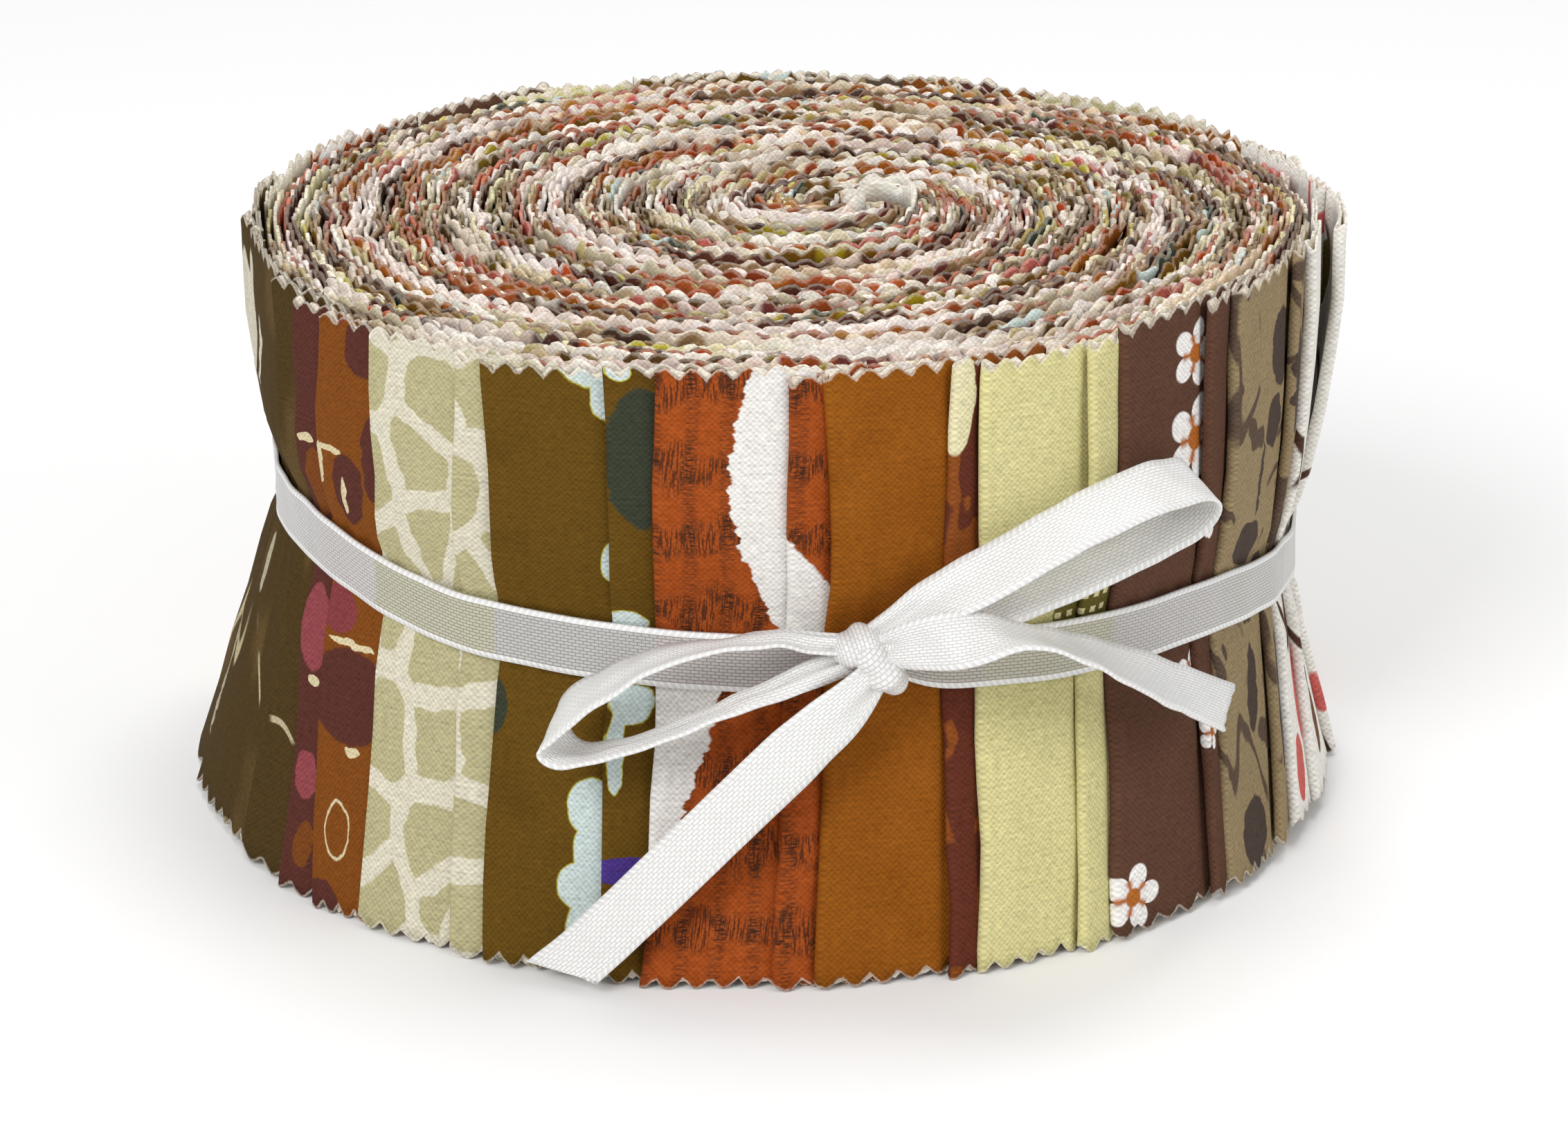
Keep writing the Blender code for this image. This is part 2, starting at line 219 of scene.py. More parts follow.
def all_ends() -> list[StripEnd]:
    """The front's strip ends, then the back's pairs, spread evenly over what is left.

    Returns:
        The ends, in the order in which they follow each other round the roll.
    """
    ends = []
    for design, *folds in FRONT_PAIRS:
        starts = (FRONT_CLOTH_STEP, 0.0) if design is NARROW_FIRST else (0.0, FRONT_CLOTH_STEP)
        ends += [StripEnd(fold, design, start) for fold, start in zip(folds, starts)]
    pitch = (ends[0].fold.rim + 360.0 - BACK_START) / len(BACK_DESIGNS)
    for pair, design in enumerate(BACK_DESIGNS):
        face = BACK_START + pair * pitch
        folds = ((face, BACK_LIFT, 0.0), (face + BACK_FACE_SHARE * pitch, 0.0, BACK_STAND))
        for part, (edge, lift, stand) in enumerate(folds):
            fold = Fold(edge, edge - 0.5 * BACK_LEAN, edge - BACK_LEAN, lift, stand)
            ends.append(StripEnd(fold, design, BACK_CLOTH_START + (2 * pair + part) * BACK_CLOTH_STEP))
    return ends


@dataclass(frozen=True)
class Side:
    """The roll's outside: a foot that flares, a waist drawn in by the ribbon, and the rim."""

    height: float = 62.4
    top_radius: float = 56.6
    waist_radius: float = 54.5
    foot_radius: float = 62.4
    top_shift: float = 1.0
    waist_shift: float = 1.1
    foot_shift: float = -1.1
    groove_half: float = 3.3
    fold_step: float = 1.2
    pressed_step: float = 0.4
    levels: tuple[tuple[float, float], ...] = (
        (-180.0, 31.0), (-110.0, 34.6), (-66.0, 34.5), (-33.0, 32.0), (0.0, 31.6), (43.0, 30.0),
        (83.0, 26.8), (125.0, 27.0), (180.0, 31.0),
    )
    rises: tuple[tuple[float, float], ...] = (
        (-180.0, 0.2), (-95.0, 0.2), (-75.0, -0.4), (-60.0, -1.0), (-32.0, -1.2), (-18.0, -0.8),
        (-5.0, -0.1), (20.0, 0.0), (32.0, 0.5), (42.0, 1.3), (55.0, 1.6), (70.0, 2.0), (85.0, 2.4),
        (100.0, 1.4), (130.0, 0.4), (180.0, 0.2),
    )

    def rise(self, angle: Array) -> Array:
        """How much higher than its usual height the cloth stands at the rim, at an angle."""
        return np.interp(signed(angle), *zip(*self.rises))

    def level(self, angle: Array) -> Array:
        """The height of the ribbon's middle at an angle, smooth through its levels.

        Args:
            angle: Angles round the roll.

        Returns:
            Heights in millimetres.
        """
        turned = signed(angle)
        height = np.zeros_like(turned)
        for (low, start), (high, end) in zip(self.levels, self.levels[1:]):
            inside = (turned >= low) & (turned <= high)
            height = np.where(inside, mix(start, end, ease(low, high, turned)), height)
        return height

    def radius(self, height: Array, level: Array) -> Array:
        """The outside's radius before its folds, at a height where the ribbon lies at a level.

        Args:
            height: The points' heights.
            level: The height of the ribbon's middle there.

        Returns:
            Radii in millimetres.
        """
        down = np.clip((level - self.groove_half - height) / (level - self.groove_half), 0.0, 1.0)
        up = np.clip((height - level - self.groove_half) / (self.height - level - self.groove_half), 0.0, 1.0)
        flare = (self.foot_radius - self.waist_radius) * (0.84 * down + 0.16 * down * down)
        return self.waist_radius + flare + (self.top_radius - self.waist_radius) * (1.0 - (1.0 - up) ** 3.5)

    def shift(self, height: Array, level: Array) -> Array:
        """How far the ring at a height lies to the right of the axis."""
        below = mix(self.waist_shift, self.foot_shift, np.clip(1.0 - height / level, 0.0, 1.0))
        return np.where(height > level, mix(self.waist_shift, self.top_shift, height / self.height), below)

    def freedom(self, height: Array, level: Array) -> Array:
        """How little the ribbon presses the folds: 0 under it, 1 well above or below."""
        return ease(2.6, 8.0, np.abs(height - level))


# Cloth.


@dataclass
class ClothGrid:
    """A sheet's points in rows and columns, and what its finish reads there.

    places are millimetres, cloth is the cloth coordinates, edge is the distance from the pinked or woven
    edge, and dye is the colour where it is painted on the points.
    """

    places: Array
    cloth: Array
    edge: Array
    dye: Array | None = None

    def length(self) -> float:
        """The mean length of the rows, each weighed by the height that it stands for, in metres.

        Returns:
            The length.
        """
        rows = np.linalg.norm(np.diff(self.places, axis=1), axis=2).sum(axis=1)
        heights = self.places[..., 2].mean(axis=1)
        return float(np.average(0.5 * (rows[1:] + rows[:-1]), weights=np.abs(np.diff(heights)))) * MM


@dataclass(frozen=True)
class Pinking:
    """A pinked edge: rounded teeth of one pitch, each cut a little differently.

    A higher power is rounder. The differences come again after repeat teeth.
    """

    seed: int
    pitch: float = 2.7
    depth: float = 1.15
    jitter: float = 0.16
    power: float = 1.5
    repeat: int = 97

    def notch(self, along: Array) -> Array:
        """How far the edge is cut back at places along the strip, in millimetres.

        Args:
            along: Places along the strip.

        Returns:
            How deep the cut is at each.
        """
        draw = np.random.default_rng(self.seed)
        phase = draw.uniform(0.0, 1.0)
        offsets = draw.uniform(-1.0, 1.0, self.repeat) * self.jitter
        turned = np.asarray(along, float) / self.pitch + phase
        rounded = np.abs(2.0 * (turned % 1.0) - 1.0) ** self.power
        return self.depth * rounded + offsets[np.floor(turned).astype(int) % self.repeat] * (1.0 - rounded)


def write_mesh(bm: bmesh.types.BMesh, name: str) -> Mesh:
    """Turn a bmesh into a mesh, and free it.

    Args:
        bm: The bmesh.
        name: The mesh's name.

    Returns:
        The mesh.
    """
    mesh = bpy.data.meshes.new(name)
    bm.to_mesh(mesh)
    bm.free()
    return mesh


def show(name: str, data: ID) -> Object:
    """A new object in the scene.

    Args:
        name: Its name.
        data: Its mesh, lamp or camera.

    Returns:
        The object.
    """
    made = bpy.data.objects.new(name, data)
    bpy.context.scene.collection.objects.link(made)
    return made


def paint_points(mesh: Mesh, edge: Array, dye: Array | None) -> None:
    """Write each point's distance from the edge, and its linear colour where there is one.

    Args:
        mesh: The mesh.
        edge: Millimetres from the edge.
        dye: Linear red, green and blue, or None.
    """
    mesh.attributes.new("edge", "FLOAT", "POINT").data.foreach_set("value", edge.astype(np.float32))
    if dye is not None:
        opaque = np.concatenate([dye, np.ones((len(dye), 1))], axis=1).astype(np.float32)
        mesh.attributes.new("dye", "FLOAT_COLOR", "POINT").data.foreach_set("color", opaque.ravel())


def write_cloth(
    name: str, grids: Sequence[ClothGrid], thickness: float, finishes: Sequence[Material]
) -> Object:
    """Make one object of one or more sheets.

    Args:
        name: The object's name.
        grids: The sheets' points.
        thickness: The cloth's thickness, half to each side.
        finishes: The materials of the face, which the cut edge shares, and of the wrong side.

    Returns:
        The object, with a Solidify modifier.
    """
    bm = bmesh.new()
    for grid in grids:
        rows, columns = grid.edge.shape
        bmesh.ops.create_grid(bm, x_segments=columns - 1, y_segments=rows - 1, size=1.0)
    mesh = write_mesh(bm, name)
    places = np.concatenate([grid.places.reshape(-1, 3) for grid in grids]) * MM
    mesh.vertices.foreach_set("co", places.astype(np.float32).ravel())
    corners = np.empty(len(mesh.loops), np.int32)
    mesh.loops.foreach_get("vertex_index", corners)
    cloth = np.concatenate([grid.cloth.reshape(-1, 2) for grid in grids])
    layer = mesh.uv_layers.new(name="cloth")
    layer.uv.foreach_set("vector", cloth[corners].astype(np.float32).ravel())
    dyed = grids[0].dye is not None
    dye = np.concatenate([grid.dye.reshape(-1, 3) for grid in grids]) if dyed else None
    paint_points(mesh, np.concatenate([grid.edge.ravel() for grid in grids]), dye)
    for finish in finishes:
        mesh.materials.append(finish)
    mesh.shade_smooth()
    mesh.update()
    made = show(name, mesh)
    wall = made.modifiers.new("thickness", "SOLIDIFY")
    wall.thickness = thickness * MM
    wall.offset = 0.0
    wall.material_offset = min(1, len(finishes) - 1)
    return made


@dataclass(frozen=True)
class FoldedEnd:
    """The end of a strip folded in half: two plies with a rounded fold at the left, pinked above and below.

    tail is how far it runs on under the next fold, margin is the pinked rows' height, loop is how thick the
    fold is where it is pressed, on a narrow end and on a wide one, and gap is how far apart the plies end up.
    """

    side: Side
    end: StripEnd
    following: Fold
    number: int
    ply: float = 0.25
    tail: float = 7.0
    column: float = 0.5
    hidden_column: float = 1.0
    margin: float = 2.0
    row_shares: tuple[float, ...] = (0.2, 0.4, 0.6, 0.8, 0.92)
    inner_edge: float = 9.0
    rim_radius: float = 57.5
    fall: float = 0.85
    wave: float = 0.35
    wide_from: float = 7.0
    loop: tuple[float, float, float] = (0.55, 0.9, 1.1)
    gap: float = 0.3
    gap_reach: float = 2.4
    tuck: float = 0.45
    puff: float = 0.2
    gather: float = 0.14
    gather_reach: float = 9.0
    sway: float = 0.35

    def spans(self) -> list[float]:
        """The angles to the next fold's edge, at the rim, the waist and the foot."""
        return [(after - own) % 360.0 for after, own in zip(self.following[:3], self.end.fold[:3])]

    def width(self) -> float:
        """The width that shows at the rim."""
        return math.radians(self.spans()[0]) * self.rim_radius

    def between(self, angles: Sequence[float], z: Array, level: Array) -> Array:
        """The angle at heights, given at the rim, the waist and the foot.

        Args:
            angles: The angles at the rim, the waist and the foot.
            z: The points' heights.
            level: The height of the ribbon's middle there.

        Returns:
            The angle at each point.
        """
        rim, waist, foot = angles
        up = np.clip((z - level) / (self.side.height - level), 0.0, 1.0)
        down = np.clip(1.0 - z / level, 0.0, 1.0)
        return waist + (rim - waist) * (2.0 * up - up * up) + (foot - waist) * down

    def columns(self) -> tuple[Array, Array, Array]:
        """Each column's distance from the fold, its turn round the fold, and its place along the strip.

        Returns:
            The distances, the turns in radians and the places, one for each column.
        """
        reach = self.width() + self.tail
        under = np.arange(0.0, reach, self.hidden_column)[::-1]
        face = np.arange(0.0, reach, self.column)
        arc = np.radians(np.arange(150.0, 15.0, -30.0))
        far = np.concatenate([under, np.zeros(len(arc)), face])
        turn = np.concatenate([np.full(len(under), math.pi), arc, np.zeros(len(face))])
        along = np.concatenate([-0.5 - under, 0.5 * np.cos(arc), 0.5 + face])
        return far, turn, along

    def rows(self, level: Array, crest: Array, along: Array) -> tuple[Array, Array]:
        """The points' heights, and their distances from the pinked edges.

        Args:
            level: The height of the ribbon's middle at each column.
            crest: The upper edge's height before it is pinked.
            along: Each column's place along the strip.

        Returns:
            The heights and the distances, row by row from the foot up.
        """
        top_cut = Pinking(3 * self.number + 1).notch(along)
        foot_cut = Pinking(3 * self.number + 2).notch(along)
        lift = self.end.fold.lift
        low, high = level - self.side.groove_half, level + self.side.groove_half
        skirt, head = lift + self.margin, crest - self.margin
        rows = [np.maximum(TABLE_GAP, lift + foot_cut), np.full_like(level, skirt)]
        rows += [mix(skirt, low, share) for share in self.row_shares]
        rows += [low, level, high]
        rows += [mix(high, head, 1.0 - share) for share in reversed(self.row_shares)]
        rows += [head, crest - top_cut]
        edge = np.full((len(rows), len(level)), self.inner_edge)
        edge[0] = edge[-1] = 0.0
        edge[1], edge[-2] = self.margin - foot_cut, self.margin - top_cut
        return np.stack(rows), edge

    def grid(self) -> ClothGrid:
        """The end's points: columns run from the under ply round the fold and along the face, rows up.

        Returns:
            The sheet.
        """
        fold, side, width, spans = self.end.fold, self.side, self.width(), self.spans()
        far, turn, along = self.columns()
        level = side.level(fold.waist + (far / width) * spans[1])
        rise = side.rise(fold.rim + (far / width) * spans[0])
        z, edge = self.rows(level, side.height + self.wave * math.sin(1.9 * self.number) + rise, along)

        free = side.freedom(z, level)
        pressed, narrow, wide = self.loop
        loop = mix(pressed, wide if width > self.wide_from else narrow, free)
        bend = 0.5 * loop
        on_fold = (turn > 0.0) & (turn < 3.14)
        x = np.where(on_fold, bend * (1.0 - np.sin(turn)), bend + far)
        past = np.maximum(x, bend)
        falling = 1.0 - self.fall * np.clip(past / width, 0.0, 1.0)
        out = mix(side.pressed_step, side.fold_step, free) * falling - 0.5 * self.ply
        out = out - self.tuck * ease(width - 0.7, width + 0.4, past) - 0.05 * np.maximum(0.0, past - width)
        gap = self.gap + (loop - self.gap) * np.exp(-(past - bend) / self.gap_reach)
        out = out - gap * 0.5 * (1.0 - np.cos(turn))
        puff = self.puff * free * np.clip(Wander(Seed.FOLD_PUFF + self.number, 22.0).at(x, z), -1.2, 1.2)
        puff = puff * (1.0 - ease(width - 1.5, width + 0.5, past))
        ripple = np.sin(1.85 * x + 1.3 * self.number + 1.5 * np.sin(0.2 * z))
        near_waist = np.exp(-(((z - level) / self.gather_reach) ** 2))
        puff = puff + self.gather * ripple * near_waist * ease(0.4, 1.6, past - bend)
        stand = fold.stand * ease(0.5 * side.height, side.height - 3.0, z)
        sway = self.sway * Wander(Seed.FOLD_SWAY + self.number, 34.0).at(z)
        angle = self.between(fold[:3], z, level) + (x / width) * self.between(spans, z, level) + sway * free
        places = direction(angle) * (side.radius(z, level) + out + puff + stand)[..., None]
        places[..., 0] += side.shift(z, level)
        places[..., 2] = z
        cloth = np.stack([self.end.start + along + 0.0 * z, z], axis=-1)
        return ClothGrid(places, cloth, edge)


@dataclass(frozen=True)
class Dye:
    """A wound strip's colours: pale worn threads, its print's ground and motifs, and the share of each.

    behind is the colour of sheer ribbon that lies over the print.
    """

    pale: str
    ground: str
    motifs: tuple[str, ...]
    behind: str
    pale_share: float
    motif_share: float = 0.35

    def runs(self, seed: int, paler: Array, per_tooth: int) -> Array:
        """Colours in runs of one to three teeth.

        Args:
            seed: The seed of the draw.
            paler: For each column, what is added to the share of pale teeth.
            per_tooth: Columns in a tooth.

        Returns:
            A linear colour for each column.
        """
        draw = np.random.default_rng(seed)
        colours = np.empty((len(paler), 3))
        column = 0
        while column < len(paler):
            teeth = int(draw.choice((1, 1, 1, 2, 3)))
            if draw.random() < self.pale_share + paler[column]:
                code = self.pale
            elif draw.random() < self.motif_share:
                code = self.motifs[int(draw.integers(len(self.motifs)))]
            else:
                code = self.ground
            tone = draw.uniform(0.74, 1.16)
            colours[column : column + teeth * per_tooth] = np.array(linear(code)[:3]) * tone
            column += teeth * per_tooth
        return colours


DYES = {
    Print.TWIGS: Dye("DACAB6", "5F4320", ("C2AC88", "6E5A18"), "B2B0AE", 0.22),
    Print.PATCHES: Dye("E2CCC2", "93441F", ("6A3430", "B05A50", "A05618"), "AEA8A6", 0.18),
    Print.PEBBLES: Dye("F0E8DC", "D2C6A8", ("E4D8C4", "B4A470"), "9D9875", 0.42),
    Print.WINGS: Dye("E0D2BC", "755014", ("C3D2CE", "3F463A", "A08A1C"), "9F9C99", 0.22),
    Print.BRUSHED: Dye("F2E6DE", "B0481C", ("4A2A22", "EEE2DC", "963A16"), "A69C98", 0.30),
    Print.CARAMEL: Dye("DEC4A4", "935016", ("8A3A1A", "A8702A"), "A89E92", 0.20),
    Print.STRAW: Dye("F0E8D2", "DCD4A6", ("BDB03A", "7A6A22"), "ABA78C", 0.30),
    Print.BLOSSOM: Dye("CFBAAA", "522C20", ("DACEC2", "A85428", "4A281E"), "B0ABA9", 0.06),
    Print.LEAVES: Dye("DACAB8", "8C6C4A", ("50392E", "50392E"), "ADA9A2", 0.20),
    Print.BRANCH: Dye("F6ECE6", "EEDED4", ("5E3A30", "B85850", "E6D4CA"), "BAB8B4", 0.36),
}


class Zone(NamedTuple):
    """A soft ellipse on the wound top: centre, half sizes, and what it adds to the share of pale teeth."""

    x: float
    y: float
    wide: float
    deep: float
    paler: float

    def off(self, places: Array) -> Array:
        """How far places are from the centre: its square, and 1 on the ellipse."""
        return ((places[:, 0] - self.x) / self.wide) ** 2 + ((places[:, 1] - self.y) / self.deep) ** 2


@dataclass(frozen=True)
class Winding:
    """The strips' inner lengths: spirals that lie in each other, each strip's two plies pressed into one.

    pitch is how far a strip comes in over a turn, so it is the thickness of the whole bundle. standing are
    the strips whose cores stand up as pale ends at core_ends, and proud those that slid up in the stack.
    """

    side: Side
    start_radius: float = 56.0
    core_radius: float = 1.9
    pitch: float = 18.4
    centre: tuple[float, float] = (7.4, 3.9)
    tail: float = 7.0
    column: float = 0.675
    per_tooth: int = 4
    thickness: float = 0.36
    neck: float = 1.9
    flop: float = 0.22
    inner_edge: float = 30.0
    # painted shade: the share of its colour that the neck row below the teeth keeps, for the crevices between
    # turns
    painted_neck_shade: float = 0.44
    sink: float = 0.85
    core_ends: Zone = Zone(5.2, 1.1, 4.6, 8.5, 0.9)
    ends_height: float = 2.2
    ends_tint: str = "E9E4D8"
    standing: tuple[int, ...] = (5, 6, 19, 33, 34)
    proud: tuple[int, ...] = (3, 10, 14, 24, 28, 35)
    zones: tuple[Zone, ...] = (
        Zone(8.0, -47.0, 11.0, 3.6, 0.9),
        Zone(-34.0, -42.0, 8.0, 5.0, 0.5),
        Zone(-22.0, -36.0, 11.0, 4.0, -0.5),
        Zone(28.0, -22.0, 13.0, 5.0, -0.5),
        Zone(2.0, -10.0, 10.0, 3.0, -0.3),
    )
    zone_tint: str = "F2ECE6"
    dusky_angle: float = 72.0
    groove_pitch: float = 9.3
    groove_depth: float = 1.1
    groove_reach: float = 0.9

    def groove(self, depth: Array, angle: Array) -> Array:
        """How deep the wide furrows between bundles of turns are.

        Args:
            depth: How far in from the first turn.
            angle: Angles round the roll.

        Returns:
            Depths in millimetres.
        """
        bound = depth / self.groove_pitch - (angle % 360.0) / 360.0
        off = np.abs(bound - np.round(bound)) * self.groove_pitch
        return self.groove_depth * np.exp(-((off / self.groove_reach) ** 2)) * (bound > 0.5)

    def colours(self, dye: Dye, number: int, ends: Array, paler: Array, white: Array) -> Array:
        """The colours of a strip's points, with painted shade on the neck row just below the teeth.

        Args:
            dye: The strip's dye.
            number: The strip's number, which seeds its draws.
            ends: Where its core stands up.
            paler: What is added to the share of pale teeth.
            white: How much of the palest tint lies over the upper edge.

        Returns:
            Linear colours, row by row from the foot up.
        """
        upper = dye.runs(Seed.UPPER_DYE + number, paler, self.per_tooth)
        lower = dye.runs(Seed.LOWER_DYE + number, paler, self.per_tooth)
        upper = mix(upper, np.array(linear(self.zone_tint)[:3]), 0.7 * np.clip(white, 0.0, 1.0)[:, None])
        upper = np.where(ends[:, None], linear(self.ends_tint)[:3], upper)
        # painted shade: the neck row takes the upper colours darkened
        return np.stack([lower, lower, self.painted_neck_shade * upper, upper])

    def strip(self, end: StripEnd, width: float, number: int) -> ClothGrid:
        """One strip's inner length, from under the next strips' folds to the core.

        Args:
            end: The strip's outer end.
            width: How much of it shows outside.
            number: Its number, which seeds its draws.

        Returns:
            Its points: columns along the strip, rows up.
        """
        side = self.side
        last = math.pi * (self.start_radius**2 - self.core_radius**2) / self.pitch
        along = np.arange(width + self.tail, last, self.column)
        inner = np.sqrt(self.start_radius**2 - self.pitch * along / math.pi)
        depth = self.start_radius - inner
        turned = np.degrees(depth * 2.0 * math.pi / self.pitch)
        angle = end.fold.rim + turned
        drift = (end.fold.foot - end.fold.rim) * np.exp(-turned / 200.0)
        share = inner / self.start_radius
        free = ease(0.0, 7.0, depth)

        flat = direction(angle)[:, :2] * inner[:, None]
        wave = Wander(Seed.TOP_WAVE, 26.0).at(*flat.T)
        lean = Wander(Seed.TOP_LEAN, 9.0).at(*flat.T)
        tuft = Wander(Seed.TOP_TUFT, 5.0).at(*flat.T)
        pale = Wander(Seed.TOP_PALE, 40.0).at(*flat.T)
        own = Wander(Seed.STRIP_WAVE + number, 16.0).at(along)
        proud = Wander(Seed.STRIP_SLIDE + number, 75.0).at(along)
        pitch = self.column * self.per_tooth
        teeth = Pinking(Seed.TOP_TEETH + number, pitch=pitch, depth=1.0, jitter=0.22, power=2.6)
        tooth = np.floor(along / pitch).astype(int)
        draw = np.random.default_rng(Seed.TOOTH_FLOP + number)
        flop = draw.uniform(-self.flop, self.flop, tooth[-1] + 1)[tooth]
        slide = 0.5 * proud + 0.12 * own + 0.12 * tuft + 0.35 * (number in self.proud)
        slide = np.clip(slide, -1.1, 0.85)
        ends = np.exp(-(self.core_ends.off(flat) ** 2)) * (number in self.standing)
        crest = side.height - self.sink + slide - self.groove(depth, angle) + self.ends_height * ends
        crest = crest + side.rise(angle) * share**2
        top = crest - teeth.notch(along)
        foot_cut = Pinking(Seed.FOOT_TEETH + number, pitch=pitch).notch(along)
        foot = np.maximum(TABLE_GAP, 0.45 + 0.2 * own + foot_cut)
        level = side.level(angle)

        squash = np.exp(-((inner / 9.0) ** 2))
        places = []
        for z, tip in ((foot, 0.0), (level, 0.0), (crest - self.neck, 0.0), (top, 1.0)):
            scale = side.radius(z, level) / side.top_radius
            bent = tip * free * (0.45 * lean + 0.1 * own + flop)
            radius = inner * mix(1.0, scale, share) + free * 0.45 * wave + bent
            at = direction(angle + drift * (1.0 - z / side.height)) * radius[:, None]
            at[:, 0] = at[:, 0] * (1.0 + 0.3 * squash) + mix(self.centre[0], side.shift(z, level), share)
            at[:, 1] = at[:, 1] * (1.0 - 0.35 * squash) + mix(self.centre[1], 0.0, share)
            at[:, 2] = z
            places.append(at)
        places = np.stack(places)
        z = places[..., 2]
        none = np.zeros_like(top)
        edge = np.stack([none, np.full_like(top, self.inner_edge), top - crest + self.neck, none])

        back = direction(angle)[:, 1]
        front, rear = np.exp(-depth / 6.0) * np.clip(-back, 0.0, 1.0), np.clip(back, 0.0, 1.0)
        round_dusk = signed(angle - self.dusky_angle) / 26.0
        paler = 0.58 * front + 0.12 * rear - 0.45 * np.exp(-depth / 7.0 - round_dusk**2) + 0.14 * pale
        paler = paler + self.core_ends.paler * (ends > 0.2)
        white = none
        for zone in self.zones:
            near = np.exp(-(zone.off(flat) ** 2))
            paler = paler + zone.paler * near
            white = white + max(0.0, zone.paler) * near
        cloth = np.stack([end.start + along + 0.0 * z, z], axis=-1)
        colours = self.colours(DYES[end.design], number, ends > 0.2, paler, white)
        return ClothGrid(places, cloth, edge, colours)


# The ribbon.


class Station(NamedTuple):
    """A place on a ribbon: angle, radius, height, how far its upper edge tips back, and its width."""

    angle: float
    radius: float
    height: float
    lean: float
    width: float


LOOP_RIGHT = (
    Station(8.8, 59.4, 35.6, 20, 2.2), Station(11.2, 60.5, 37.3, 25, 3.4),
    Station(14.6, 61.6, 39.8, 40, 5.2), Station(20.2, 63.2, 43.3, 55, 6.0),
    Station(26.2, 63.8, 46.4, 60, 6.0), Station(32.0, 63.8, 48.2, 60, 6.0),
    Station(37.6, 63.4, 48.6, 60, 6.0), Station(41.6, 62.6, 47.6, 60, 6.0),
    Station(42.8, 61.6, 45.4, 60, 6.0), Station(41.0, 61.0, 43.4, 60, 6.0),
    Station(36.0, 60.8, 42.2, 60, 6.0), Station(27.4, 60.8, 40.2, 58, 6.0),
    Station(19.5, 60.2, 37.8, 45, 5.4), Station(11.9, 58.8, 34.3, 0, 2.8),
)
LOOP_LEFT = (
    Station(6.4, 59.2, 35.0, 40, 2.2), Station(3.0, 59.8, 35.6, 60, 3.0),
    Station(-0.4, 61.0, 36.3, 90, 4.2), Station(-4.6, 62.1, 36.1, 94, 4.8),
    Station(-10.0, 62.7, 34.8, 84, 5.2), Station(-15.0, 63.2, 31.6, 66, 5.6),
    Station(-19.0, 63.0, 28.0, 55, 5.8), Station(-20.4, 62.4, 25.2, 60, 5.6),
    Station(-18.4, 61.9, 23.6, 80, 5.0), Station(-14.0, 61.7, 24.8, 92, 4.4),
    Station(-8.0, 61.6, 27.6, 94, 4.0), Station(-2.0, 61.0, 30.4, 88, 3.4),
    Station(3.4, 59.8, 32.3, 50, 2.6), Station(7.2, 59.2, 33.4, 40, 2.2),
)
TAIL_LEFT = (
    Station(9.4, 60.4, 32.4, 0, 3.4), Station(6.8, 61.4, 29.8, 0, 5.0), Station(2.4, 62.0, 25.6, 5, 6.0),
    Station(-3.7, 62.8, 19.0, 10, 6.0), Station(-9.7, 63.9, 12.1, 14, 6.0),
    Station(-16.0, 65.4, 4.6, 16, 6.0), Station(-18.4, 66.0, 2.0, 18, 6.0),
)
TAIL_RIGHT = (
    Station(9.6, 60.0, 34.4, 10, 2.6), Station(12.0, 62.6, 35.8, 10, 4.6),
    Station(15.2, 65.2, 37.0, 30, 5.6), Station(20.3, 66.6, 37.5, 82, 6.0),
    Station(27.1, 66.2, 34.4, 72, 6.0), Station(35.2, 65.0, 29.2, 45, 6.0),
    Station(46.0, 63.5, 22.4, 30, 6.0),
)


def curve_through(rows: Sequence[Sequence[float]], places: Array) -> Array:
    """Points on a Catmull-Rom curve through rows of numbers, one whole number of place for each row.

    Args:
        rows: The numbers to pass through.
        places: Where on the curve, from 0 to the last row.

    Returns:
        The numbers at each place.
    """
    table = np.asarray(rows, float)
    last = len(table) - 1
    span = np.minimum(places.astype(int), last - 1)
    share = (places - span)[:, None]
    a, b, c, d = (table[np.clip(span + k, 0, last)] for k in (-1, 0, 1, 2))
    bend, swing = 2 * a - 5 * b + 4 * c - d, 3 * b - a - 3 * c + d
    return 0.5 * (2 * b + (c - a) * share + bend * share**2 + swing * share**3)


RIBBON_WIDTH = 6.0
RIBBON_THICKNESS = 0.36
RIBBON_ROWS = 9


def ribbon_grid(rows: Sequence[Array], along: Sequence[Array], dye: Array) -> ClothGrid:
    """A ribbon's sheet.

    Args:
        rows: Its points, row by row from its lower to its upper edge.
        along: Each row's places along the ribbon.
        dye: The linear colour of what lies behind it, the same for every row.

    Returns:
        Its points, with their distances from the woven edges.
    """
    along = np.stack(along)
    across = np.linspace(-0.5, 0.5, len(rows))[:, None] + 0.0 * along
    cloth = np.stack([along, RIBBON_WIDTH * across], axis=-1)
    edge = 0.5 * RIBBON_WIDTH - RIBBON_WIDTH * np.abs(across)
    return ClothGrid(np.stack(rows), cloth, edge, np.broadcast_to(dye, (*edge.shape, 3)))


